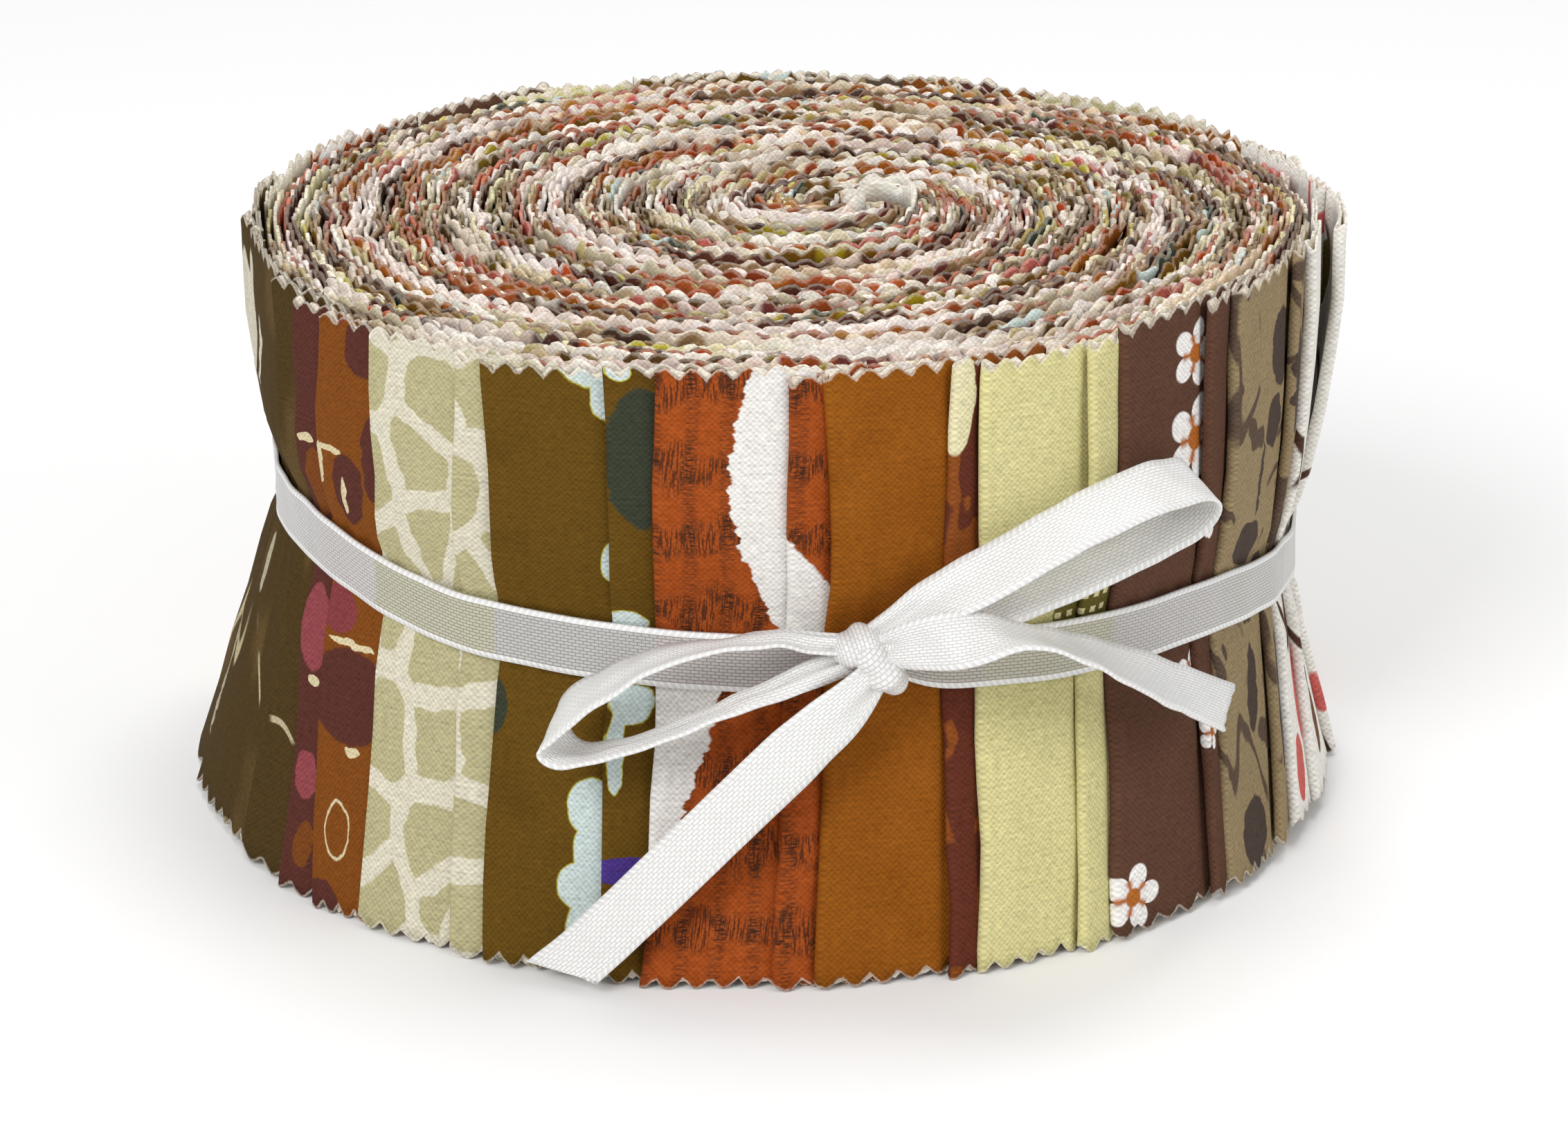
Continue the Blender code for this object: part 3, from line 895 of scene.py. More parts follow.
@dataclass(frozen=True)
class FreeRibbon:
    """A ribbon that runs through stations: a loop of the bow, or one of its tails.

    steps are its points to a station. cut is how far its end is cut aslant, ragged how uneven that cut is,
    cup how far its middle bulges, and sheer the colour that shows through it.
    """

    name: str
    stations: tuple[Station, ...]
    steps: int
    sheer: str
    cut: float = 0.0
    ragged: float = 0.0
    cup: float = 0.25
    pleat: float = 0.9
    waver: float = 0.12

    def trace(self, steps: int) -> tuple[Array, Array, Array]:
        """At even steps: how many stations are passed, the numbers there, and the middle's points.

        Args:
            steps: Steps from one station to the next.

        Returns:
            The three, one entry for each step.
        """
        last = len(self.stations) - 1
        places = np.linspace(0, last, last * steps + 1)
        line = curve_through(self.stations, places)
        middle = direction(line[:, 0]) * line[:, 1:2]
        middle[:, 2] = line[:, 2]
        return places, line, middle

    def grid(self) -> ClothGrid:
        """The ribbon's points: columns along it, rows from its lower to its upper edge.

        Returns:
            The sheet.
        """
        places, line, middle = self.trace(self.steps)
        ahead = np.gradient(middle, axis=0)
        ahead /= np.linalg.norm(ahead, axis=1, keepdims=True)
        lean = np.radians(line[:, 3])[:, None]
        across = -direction(line[:, 0]) * np.sin(lean)
        across[:, 2] = np.cos(lean[:, 0])
        across -= ahead * (across * ahead).sum(1, keepdims=True)
        across /= np.linalg.norm(across, axis=1, keepdims=True)
        normal = np.cross(across, ahead)
        run = np.concatenate([[0.0], np.cumsum(np.linalg.norm(np.diff(middle, axis=0), axis=1))])
        width = line[:, 4]
        gather = 1.0 - width / RIBBON_WIDTH
        rows, along = [], []
        for side in np.linspace(-0.5, 0.5, RIBBON_ROWS):
            pleat = self.pleat * gather * np.sin(side * 11.0 + 0.6)
            waver = self.waver * Wander(Seed.RIBBON, 9.0).at(run, side * RIBBON_WIDTH + 0 * run)
            curl = self.cup * (1.0 - 4.0 * side * side) * (1.0 - gather) + waver
            slide = -side * self.cut * np.clip(1.0 - (places[-1] - places), 0.0, 1.0)
            slide[-1] += self.ragged * math.sin(side * 23.0)
            at = middle + across * (side * width)[:, None] + normal * (pleat + curl)[:, None]
            rows.append(at + ahead * slide[:, None])
            along.append(run + slide)
        return ribbon_grid(rows, along, np.array(linear(self.sheer)[:3]))

    def build(self, finish: Material) -> Object:
        """Make the ribbon as an object."""
        return write_cloth(self.name, [self.grid()], RIBBON_THICKNESS, [finish])


@dataclass(frozen=True)
class Band:
    """The ribbon's turn round the waist, drawn narrow where it meets the knot."""

    side: Side
    stand: float = 0.72
    columns: int = 480
    knot_angle: float = 8.0
    knot_reach: float = 5.0
    ripple: float = 0.1

    def grid(self) -> ClothGrid:
        """The band's points: columns round the roll, rows up. The first and last columns meet.

        Returns:
            The sheet.
        """
        angle = np.linspace(self.knot_angle, self.knot_angle + 360.0, self.columns + 1)
        level = self.side.level(angle)
        drawn = np.exp(-((signed(angle - self.knot_angle) / self.knot_reach) ** 2))
        width = RIBBON_WIDTH * (1.0 - 0.5 * drawn)
        run = np.radians(angle) * self.side.waist_radius
        plane = direction(angle)
        rows = []
        for place in np.linspace(-0.5, 0.5, RIBBON_ROWS):
            spots = (plane[:, 0] * 55.0, plane[:, 1] * 55.0, place * RIBBON_WIDTH + 0 * run)
            ripple = self.ripple * Wander(Seed.BAND, 14.0).at(*spots)
            flare = 0.12 * (2.0 * place) ** 2 + drawn * (0.5 + 0.35 * math.sin(place * 12.0))
            at = plane * (self.side.waist_radius + self.stand + ripple + flare)[:, None]
            at[:, 0] += self.side.waist_shift
            at[:, 2] = level + place * width + 1.2 * drawn
            rows.append(at)
        return ribbon_grid(rows, [run] * len(rows), self.behind(angle))

    def behind(self, angle: Array) -> Array:
        """The sheer cloth's colour at angles, tinted by the strip behind it.

        Args:
            angle: Angles round the roll.

        Returns:
            Linear colours.
        """
        tints = np.empty((len(angle), 3))
        ends = all_ends()
        for end, following in zip(ends, ends[1:] + ends[:1]):
            start = end.fold.waist
            inside = (angle - start) % 360.0 < (following.fold.waist - start) % 360.0
            tints[inside] = linear(DYES[end.design].behind)[:3]
        return tints

    def build(self, finish: Material) -> Object:
        """Make the band as an object, its ends joined.

        Args:
            finish: The satin.

        Returns:
            The object.
        """
        made = write_cloth("satin_band", [self.grid()], RIBBON_THICKNESS, [finish])
        bm = bmesh.new()
        bm.from_mesh(made.data)
        bmesh.ops.remove_doubles(bm, verts=bm.verts, dist=WELD_DISTANCE)
        bm.to_mesh(made.data)
        bm.free()
        return made


class Lobe(NamedTuple):
    """A rounded wrap of the knot: its centre, its half sizes across, outwards and upwards, and its turn."""

    angle: float
    radius: float
    height: float
    half: tuple[float, float, float]
    turn: float


@dataclass(frozen=True)
class Knot:
    """The bow's knot: wraps of gathered ribbon."""

    lobes: tuple[Lobe, ...] = (
        Lobe(8.0, 59.0, 34.8, (2.9, 2.3, 1.8), 16.0),
        Lobe(9.7, 59.6, 33.0, (3.7, 2.5, 1.9), -50.0),
        Lobe(10.4, 58.8, 34.4, (2.0, 2.2, 1.7), -14.0),
    )
    segments: int = 72
    rings: int = 44
    fullness: float = 0.1
    crease: float = 0.085
    edge: float = 2.0
    sheer: str = "E6E4E2"

    def build(self, finish: Material) -> Object:
        """Make the knot as an object. Creases run round each wrap, the way its ribbon goes.

        Args:
            finish: The satin.

        Returns:
            The object.
        """
        bm = bmesh.new()
        layer = bm.loops.layers.uv.new("cloth")
        for number, lobe in enumerate(self.lobes):
            made = bmesh.ops.create_uvsphere(bm, u_segments=self.segments, v_segments=self.rings, radius=1.0)
            wide = lobe.half[0] > lobe.half[2]
            turn = Euler((0.0, -math.radians(lobe.turn), 0.0)).to_matrix()
            facing = Euler((0.0, 0.0, math.radians(lobe.angle))).to_matrix()
            centre = Vector(direction(np.array(lobe.angle))) * lobe.radius + Vector((0.0, 0.0, lobe.height))
            for vert in made["verts"]:
                spot = vert.co.copy()
                across, round_it = (spot.x, spot.z) if wide else (spot.z, spot.x)
                squared = max(0.0, 1.0 - across * across)
                ridge = math.sin(across * 7.5 + 0.9 * math.sin(2.2 * spot.y + number)) * squared
                full = (1.0 + self.fullness * squared) * (1.0 + self.crease * ridge)
                placed = Vector([part * half for part, half in zip(spot, Vector(lobe.half))]) * full
                vert.co = (facing @ (turn @ placed) + centre) * MM
                for loop in vert.link_loops:
                    loop[layer].uv = (math.atan2(spot.y, round_it) * 2.4, across * 2.8)
        for face in bm.faces:
            face.smooth = True
        mesh = write_mesh(bm, "satin_knot")
        count = len(mesh.vertices)
        paint_points(mesh, np.full(count, self.edge), np.tile(linear(self.sheer)[:3], (count, 1)))
        mesh.materials.append(finish)
        return show("satin_knot", mesh)


# Finishes.

Value = NodeSocket | float | str | Sequence[float]


class Graph:
    """Adds nodes to one tree and links them. Each method returns the socket that holds the result."""

    def __init__(self, tree: NodeTree) -> None:
        """Work on one tree."""
        self.tree = tree

    def add(self, kind: str, **settings: object) -> Node:
        """A new node with its settings.

        Args:
            kind: The node's type.
            **settings: Its own properties.

        Returns:
            The node.
        """
        node = self.tree.nodes.new(kind)
        for name, value in settings.items():
            setattr(node, name, value)
        return node

    def feed(self, socket: NodeSocket, value: Value) -> None:
        """Link a socket to a socket, or set its constant value, where a string is a hexadecimal colour.

        Args:
            socket: The input.
            value: What it gets.
        """
        if isinstance(value, NodeSocket):
            self.tree.links.new(value, socket)
        else:
            socket.default_value = linear(value) if isinstance(value, str) else value

    def wire(self, node: Node, **values: Value) -> None:
        """Feed a node's inputs by name."""
        for name, value in values.items():
            self.feed(node.inputs[name.replace("_", " ")], value)

    def math(self, operation: str, *values: Value) -> NodeSocket:
        """A Math node.

        Args:
            operation: What it works out.
            *values: Its inputs in order.

        Returns:
            The result's socket.
        """
        node = self.add("ShaderNodeMath", operation=operation)
        for socket, value in zip(node.inputs, values):
            self.feed(socket, value)
        return node.outputs[0]

    def times(self, first: Value, second: Value) -> NodeSocket:
        """One value times another."""
        return self.math("MULTIPLY", first, second)

    def minus(self, first: Value, second: Value) -> NodeSocket:
        """One value less another."""
        return self.math("SUBTRACT", first, second)

    def rest(self, share: Value) -> NodeSocket:
        """What is left of 1."""
        return self.minus(1.0, share)

    def vector(self, operation: str, *values: Value) -> NodeSocket:
        """A Vector Math node.

        Args:
            operation: What it works out.
            *values: Its inputs in order.

        Returns:
            The result's socket.
        """
        node = self.add("ShaderNodeVectorMath", operation=operation)
        for socket, value in zip(node.inputs, values):
            self.feed(socket, value)
        return node.outputs["Value" if operation == "LENGTH" else "Vector"]

    def scaled(self, vector: Value, scale: Sequence[float]) -> NodeSocket:
        """A vector times a scale for each axis."""
        return self.vector("MULTIPLY", vector, scale)

    def stretched(self, vector: Value, scale: Sequence[float], detail: float = 2.0) -> NodeSocket:
        """A Noise Texture's value, stretched by a scale for each axis."""
        return self.noise(self.scaled(vector, scale), 1.0, detail)

    def split(self, vector: Value) -> tuple[NodeSocket, NodeSocket]:
        """A vector's first two parts.

        Args:
            vector: The vector.

        Returns:
            The sockets of its first and second part.
        """
        node = self.add("ShaderNodeSeparateXYZ")
        self.feed(node.inputs[0], vector)
        return node.outputs[0], node.outputs[1]

    def mix(self, share: Value, low: Value, high: Value, blend: str = "MIX") -> NodeSocket:
        """A mix of two colours.

        Args:
            share: How much of the second colour.
            low: The first colour.
            high: The second colour.
            blend: How they are blended.

        Returns:
            The result's socket.
        """
        node = self.add("ShaderNodeMix", data_type="RGBA", blend_type=blend)
        for index, value in ((0, share), (6, low), (7, high)):
            self.feed(node.inputs[index], value)
        return node.outputs[2]

    def noise(self, vector: Value, scale: float, detail: float = 2.0, colour: bool = False) -> NodeSocket:
        """A Noise Texture's value, or its colour.

        Args:
            vector: Where it is read.
            scale: How fine it is.
            detail: How many finer layers it has.
            colour: Whether to give its colour.

        Returns:
            The result's socket.
        """
        node = self.add("ShaderNodeTexNoise")
        self.wire(node, Vector=vector, Scale=scale, Detail=detail)
        return node.outputs["Color" if colour else "Fac"]

    def step(self, value: Value, low: Value, high: Value) -> NodeSocket:
        """A smooth step from 0 at low to 1 at high.

        Args:
            value: The value.
            low: Where the step starts.
            high: Where it ends.

        Returns:
            The result's socket.
        """
        node = self.add("ShaderNodeMapRange", interpolation_type="SMOOTHSTEP")
        self.wire(node, Value=value, From_Min=low, From_Max=high)
        return node.outputs["Result"]

    def spread(self, value: Value, low: float, high: float) -> NodeSocket:
        """A value from 0 to 1 spread from low to high.

        Args:
            value: The value.
            low: What 0 becomes.
            high: What 1 becomes.

        Returns:
            The result's socket.
        """
        node = self.add("ShaderNodeMapRange")
        self.wire(node, Value=value, To_Min=low, To_Max=high)
        return node.outputs["Result"]

    def group(self, tree: NodeTree, **values: Value) -> Node:
        """A group node, with its inputs by name.

        Args:
            tree: The group.
            **values: Its inputs, with _ for a space.

        Returns:
            The node.
        """
        node = self.add("ShaderNodeGroup", node_tree=tree)
        self.wire(node, **values)
        return node


def new_group(name: str, inputs: dict[str, str], outputs: dict[str, str]) -> tuple[Graph, dict, dict]:
    """Start a shader node group.

    Args:
        name: The group's name.
        inputs: Each input's name, and its kind: Float, Vector or Color.
        outputs: The same for the outputs.

    Returns:
        Its graph, its inputs' sockets by name, and its outputs' sockets by name.
    """
    tree = bpy.data.node_groups.new(name, "ShaderNodeTree")
    for side, sockets in (("INPUT", inputs), ("OUTPUT", outputs)):
        for label, kind in sockets.items():
            tree.interface.new_socket(name=label, in_out=side, socket_type=f"NodeSocket{kind}")
    start, end = tree.nodes.new("NodeGroupInput"), tree.nodes.new("NodeGroupOutput")
    return Graph(tree), {k: start.outputs[k] for k in inputs}, {k: end.inputs[k] for k in outputs}


def weave_group() -> NodeTree:
    """Plain weave: threads over and under each other, with uneven yarn, and painted shade where they dip.

    Returns:
        The group's tree.
    """
    graph, given, result = new_group(
        "plain_weave", {"Vector": "Vector", "Pitch": "Float"}, {"Height": "Float", "Tone_And_Shading": "Float"}
    )
    along, up = graph.split(given["Vector"])
    rate = graph.math("DIVIDE", math.pi, given["Pitch"])
    warp = graph.math("SINE", graph.times(along, rate))
    weft = graph.math("SINE", graph.times(up, rate))
    crossing = graph.times(warp, weft)
    slub = graph.stretched(given["Vector"], (0.35, 3.2, 1.0), 3.0)
    height = graph.math("MULTIPLY_ADD", crossing, 0.5, graph.times(slub, 0.7))
    graph.feed(result["Height"], height)
    yarn = graph.stretched(given["Vector"], (1.4, 3.2, 1.0), 2.0)
    uneven = graph.times(graph.spread(slub, 0.8, 1.2), graph.spread(yarn, 0.62, 1.38))
    # painted shade: the tone follows the crossing, darker where the threads dip; the rest is the uneven
    # yarn's own tone
    tone = graph.math("MULTIPLY_ADD", crossing, 0.16, uneven)
    graph.feed(result["Tone_And_Shading"], tone)
    return graph.tree


def fray_group() -> NodeTree:
    """The raw white threads along a pinked edge, uneven and thin.

    Returns:
        The group's tree.
    """
    graph, given, result = new_group(
        "raw_edge", {"Vector": "Vector", "Edge": "Float", "Reach": "Float"}, {"Mask": "Float"}
    )
    rough = graph.noise(given["Vector"], 1.9, 3.0)
    limit = graph.times(given["Reach"], graph.spread(rough, -0.2, 2.2))
    mask = graph.rest(graph.step(graph.minus(given["Edge"], limit), -0.08, 0.14))
    graph.feed(result["Mask"], mask)
    return graph.tree


def blob_group() -> NodeTree:
    """A soft-edged printed shape: an ellipse with a wandering outline, and the thin line round it.

    Returns:
        The group's tree.
    """
    graph, given, result = new_group(
        "printed_blob",
        {"Vector": "Vector", "Centre": "Vector", "Size": "Vector", "Wobble": "Float"},
        {"Mask": "Float", "Line": "Float"},
    )
    shake = graph.vector("SUBTRACT", graph.noise(given["Vector"], 0.42, 3.0, colour=True), (0.5, 0.5, 0.5))
    push = graph.add("ShaderNodeVectorMath", operation="SCALE")
    graph.wire(push, Vector=shake, Scale=given["Wobble"])
    moved = graph.vector("ADD", given["Vector"], push.outputs[0])
    apart = graph.vector("DIVIDE", graph.vector("SUBTRACT", moved, given["Centre"]), given["Size"])
    reach = graph.vector("LENGTH", graph.scaled(apart, (1.0, 1.0, 0.0)))
    graph.feed(result["Mask"], graph.rest(graph.step(reach, 0.94, 1.02)))
    rim = graph.rest(graph.step(graph.math("ABSOLUTE", graph.minus(reach, 1.0)), 0.03, 0.1))
    graph.feed(result["Line"], rim)
    return graph.tree


def flower_group() -> NodeTree:
    """A five-petalled flower and its heart.

    Returns:
        The group's tree.
    """
    graph, given, result = new_group(
        "printed_flower",
        {"Vector": "Vector", "Centre": "Vector", "Radius": "Float"},
        {"Petals": "Float", "Heart": "Float", "Stamens": "Float"},
    )
    apart = graph.vector("SUBTRACT", given["Vector"], given["Centre"])
    across, up = graph.split(apart)
    turn = graph.math("ARCTAN2", up, across)
    reach = graph.vector("LENGTH", graph.scaled(apart, (1.0, 1.0, 0.0)))
    reach = graph.math("DIVIDE", reach, given["Radius"])
    lobes = graph.math("ABSOLUTE", graph.math("COSINE", graph.times(turn, 2.5)))
    outline = graph.math("MULTIPLY_ADD", graph.math("POWER", lobes, 0.55), 0.62, 0.38)
    petals = graph.step(graph.minus(outline, reach), -0.03, 0.05)
    graph.feed(result["Petals"], petals)
    graph.feed(result["Heart"], graph.rest(graph.step(reach, 0.24, 0.32)))
    ray = graph.math("POWER", graph.math("ABSOLUTE", graph.math("SINE", graph.times(turn, 2.5))), 5.0)
    near = graph.rest(graph.step(reach, 0.5, 0.62))
    graph.feed(result["Stamens"], graph.times(ray, near))
    return graph.tree


def satin_group() -> NodeTree:
    """Satin weave: floats in staggered rows with sheer gaps, and a dense stitched selvage at both edges.

    Returns:
        The group's tree.
    """
    graph, given, result = new_group(
        "satin_floats",
        {"Vector": "Vector", "Edge": "Float"},
        {"Height": "Float", "Solid": "Float", "Tone_And_Shading": "Float"},
    )
    floats = graph.add("ShaderNodeTexBrick", offset=0.5, offset_frequency=2, squash=1.0)
    graph.wire(floats, Vector=given["Vector"], Scale=1.0, Brick_Width=0.8, Row_Height=0.34)
    # painted shade: the mortar, the gaps between floats, comes out darker than the floats
    graph.wire(floats, Mortar_Size=0.07, Mortar_Smooth=0.9, Mortar=(0.75, 0.75, 0.75, 1.0))
    graph.wire(floats, Color1=(1.0, 1.0, 1.0, 1.0), Color2=(0.8, 0.8, 0.8, 1.0))
    float_height = graph.rest(floats.outputs["Fac"])
    along, _ = graph.split(given["Vector"])
    slanted = graph.math("MULTIPLY_ADD", given["Edge"], 5.0, graph.times(along, 8.5))
    dashes = graph.step(graph.math("SINE", slanted), -0.35, 0.3)
    border = graph.rest(graph.step(given["Edge"], 0.5, 0.62))
    height = graph.mix(border, float_height, dashes)
    graph.feed(result["Height"], height)
    graph.feed(result["Solid"], graph.math("MAXIMUM", border, graph.times(float_height, 0.3)))
    # painted sheen and shade: lightest on the raised floats, darker in the gaps and low places; the floats'
    # own tones differ at random
    tone = graph.times(graph.spread(floats.outputs["Color"], 0.7, 1.0), graph.spread(height, 0.8, 1.0))
    graph.feed(result["Tone_And_Shading"], graph.mix(border, tone, graph.spread(dashes, 0.84, 1.0)))
    return graph.tree


@dataclass
class Groups:
    """The shader node groups that the finishes share."""

    weave: NodeTree = field(default_factory=weave_group)
    fray: NodeTree = field(default_factory=fray_group)
    blob: NodeTree = field(default_factory=blob_group)
    flower: NodeTree = field(default_factory=flower_group)
    satin: NodeTree = field(default_factory=satin_group)


class Spot(NamedTuple):
    """A printed shape: its centre, its half sizes and how much its outline wanders, in millimetres."""

    x: float
    y: float
    wide: float
    high: float
    wobble: float = 1.2


class Painter(Graph):
    """Paints a print's colours over the cloth coordinates.

    A print's own shapes lie on the cloth of its front strips, and what is scattered past far on the back's.
    """

    far: float = 35.0

    def __init__(self, tree: NodeTree, groups: Groups) -> None:
        """Paint in one material's tree.

        Args:
            tree: The material's tree.
            groups: The shared node groups.
        """
        super().__init__(tree)
        self.groups = groups
        self.cloth = cloth_place(self)

    def spot(self, colour: Value, spot: Spot, paint: str, line: str | None = None) -> NodeSocket:
        """Paint one shape over a colour, with a thin line round it where line is given.

        Args:
            colour: What lies under it.
            spot: The shape.
            paint: Its colour.
            line: The colour of its line.

        Returns:
            The painted colour.
        """
        node = self.group(
            self.groups.blob,
            Vector=self.cloth,
            Centre=(spot.x, spot.y, 0.0),
            Size=(spot.wide, spot.high, 1.0),
            Wobble=spot.wobble,
        )
        colour = self.mix(node.outputs["Mask"], colour, paint)
        if line:
            colour = self.mix(node.outputs["Line"], colour, line)
        return colour

    def spots(self, colour: Value, spots: Sequence[Spot], paint: str, line: str | None = None) -> NodeSocket:
        """Paint several shapes over a colour.

        Args:
            colour: What lies under them.
            spots: The shapes.
            paint: Their colour.
            line: The colour of their lines.

        Returns:
            The painted colour.
        """
        for spot in spots:
            colour = self.spot(colour, spot, paint, line)
        return colour

    def clouded(self, first: str, second: str, scale: float, detail: float = 2.0) -> NodeSocket:
        """Two colours in soft clouds."""
        return self.mix(self.noise(self.cloth, scale, detail), first, second)

    def region(
        self, colour: Value, scale: Sequence[float], low: float, paint: str, soft: float = 0.02
    ) -> NodeSocket:
        """Paint wandering regions over a colour. A higher low gives fewer."""
        mask = self.step(self.stretched(self.cloth, scale, 2.0), low, low + soft)
        return self.mix(mask, colour, paint)

    def lines(
        self, colour: Value, scale: Sequence[float], half: float, paint: str, keep: float
    ) -> NodeSocket:
        """Paint thin winding lines over a colour, kept only where a second noise is over keep.

        Args:
            colour: What lies under them.
            scale: How fine they are, for each axis.
            half: Half their width.
            paint: Their colour.
            keep: A higher value keeps fewer.

        Returns:
            The painted colour.
        """
        near = self.math("ABSOLUTE", self.minus(self.stretched(self.cloth, scale, 1.0), 0.5))
        line = self.rest(self.step(near, half, half * 1.8))
        kept = self.step(self.stretched(self.cloth, (0.09, 0.06, 1.0)), keep, keep + 0.04)
        return self.mix(self.times(line, kept), colour, paint)

    def beyond(self, start: float) -> NodeSocket:
        """A mask of the cloth past a place along it."""
        return self.step(self.split(self.cloth)[0], start - 0.1, start + 0.1)

    def twigs(self) -> NodeSocket:
        """Olive brown with worn patches, and pale twigs low down.

        Returns:
            The print's colour.
        """
        colour = self.region("49381B", (0.10, 0.04, 1.0), 0.52, "5C4828", 0.12)
        twigs = self.lines(colour, (0.07, 0.035, 1.0), 0.006, "B5A888", 0.44)
        low = self.rest(self.step(self.split(self.cloth)[1], 16.0, 22.0))
        colour = self.mix(self.math("MAXIMUM", low, self.beyond(self.far)), colour, twigs)
        pale = [Spot(1.4, 52.0, 2.0, 8.0), Spot(5.6, 50.0, 0.7, 4.0, 2.0), Spot(567.0, 50.0, 3.4, 9.0)]
        colour = self.spots(colour, pale, "C9C2B0")
        return self.spots(colour, [Spot(6.0, 26.0, 0.7, 3.2), Spot(1.0, 12.0, 0.5, 6.0, 3.0)], "AFA68E")

    def patches(self) -> NodeSocket:
        """Brown orange and maroon patches with rose blooms and a cream sprig.

        Returns:
            The print's colour.
        """
        scattered = self.region("7A4518", (0.12, 0.055, 1.0), 0.50, "552F28")
        scattered = self.region(scattered, (0.14, 0.10, 6.0), 0.62, "8A4449")
        scattered = self.lines(scattered, (0.16, 0.10, 1.0), 0.008, "CFC19C", 0.5)
        colour = self.mix(self.beyond(self.far), "7A4518", scattered)
        maroon = [
            Spot(7.2, 58.6, 3.0, 3.2), Spot(8.8, 47.0, 1.8, 5.0), Spot(4.8, 42.4, 2.4, 4.0),
            Spot(5.0, 20.6, 6.4, 4.6), Spot(2.0, 0.6, 3.0, 2.4), Spot(22.6, 34.0, 5.6, 44.0),
        ]
        colour = self.spots(colour, maroon, "552F28")
        colour = self.spots(colour, [Spot(23.0, 41.0, 1.5, 4.2), Spot(22.8, 5.0, 1.2, 2.4)], "74411C")
        colour = self.spots(colour, [Spot(22.4, 25.4, 2.2, 4.4), Spot(22.2, 11.4, 1.6, 2.4)], "8A4449")
        colour = self.spots(colour, [Spot(2.2, 28.4, 3.0, 2.2), Spot(3.4, 62.0, 1.2, 1.4)], "7E3B3E")
        sprig = [
            Spot(0.6, 44.4, 0.5, 2.6, 1.6), Spot(2.4, 46.4, 1.9, 0.5, 1.6), Spot(4.2, 41.6, 0.5, 2.2, 1.6),
            Spot(22.0, 46.0, 1.4, 0.6, 1.6), Spot(4.6, 25.6, 3.6, 0.4, 1.6), Spot(6.0, 15.6, 1.2, 0.5, 1.6),
            Spot(22.8, 20.4, 0.9, 0.5, 1.0),
        ]
        colour = self.spots(colour, sprig, "CFC19C")
        return self.spot(colour, Spot(4.6, 8.0, 1.9, 2.6), "7A4518", "CFC19C")

    def pebbles(self) -> NodeSocket:
        """Sage beige stones with rounded corners in a cream net.

        Returns:
            The print's colour.
        """
        shake = self.noise(self.cloth, 0.3, 1.0, colour=True)
        place = self.vector("ADD", self.cloth, self.scaled(shake, (1.4, 1.4, 0.0)))
        place = self.scaled(place, (0.155, 0.112, 1.0))
        uneven = self.spread(self.noise(self.cloth, 0.6), -0.04, 0.04)
        masks = []
        for feature, low, high in (("DISTANCE_TO_EDGE", 0.115, 0.14), ("F1", -0.54, -0.51)):
            cells = self.add("ShaderNodeTexVoronoi", feature=feature, voronoi_dimensions="2D")
            self.wire(cells, Vector=place, Scale=1.0, Randomness=0.7)
            distance = cells.outputs["Distance"]
            if feature == "F1":
                cells.distance = "MINKOWSKI"
                cells.inputs["Exponent"].default_value = 3.2
                distance = self.minus(0.0, distance)
            masks.append(self.step(self.math("ADD", distance, uneven), low, high))
        stone = self.clouded("A9A27A", "B4AD87", 0.12)
        return self.mix(self.math("MINIMUM", *masks), "CFC9B5", stone)

    def wings(self) -> NodeSocket:
        """Olive bronze with pale blue and dark green shapes.

        Returns:
            The print's colour.
        """
        colour = self.region("604615", (0.05, 0.09, 1.0), 0.5, "573E12", 0.2)
        scattered = self.region(colour, (0.11, 0.07, 1.0), 0.62, "BFCCC8")
        scattered = self.region(scattered, (0.10, 0.085, 7.0), 0.64, "34382C")
        colour = self.mix(self.beyond(self.far), colour, scattered)
        blue = [
            Spot(12.4, 62.4, 4.4, 3.2), Spot(13.6, 58.4, 2.2, 2.6), Spot(13.0, 41.4, 1.3, 2.3, 0.5),
            Spot(11.2, 16.2, 2.6, 2.9, 0.6), Spot(12.0, 12.0, 2.4, 3.4, 0.6),
            Spot(11.2, 8.6, 3.1, 2.6, 0.6), Spot(12.0, 4.6, 3.0, 3.4, 0.6), Spot(21.8, 34.6, 2.2, 2.0, 1.5),
            Spot(22.6, 26.6, 2.4, 2.0, 1.5), Spot(21.4, 22.0, 1.0, 4.4, 1.0),
            Spot(21.6, 61.5, 1.3, 0.9, 0.5),
        ]
        colour = self.spots(colour, blue, "AFA93C")
        smaller = [shape._replace(wide=shape.wide - 0.12, high=shape.high - 0.12) for shape in blue]
        colour = self.spots(colour, smaller, "C0CDCA")
        colour = self.spots(colour, [Spot(-0.2, 24.4, 1.7, 2.8), Spot(23.4, 52.6, 3.6, 7.4, 1.6)], "373B2E")
        return self.spot(colour, Spot(22.0, 10.6, 3.4, 1.5), "4A3580")

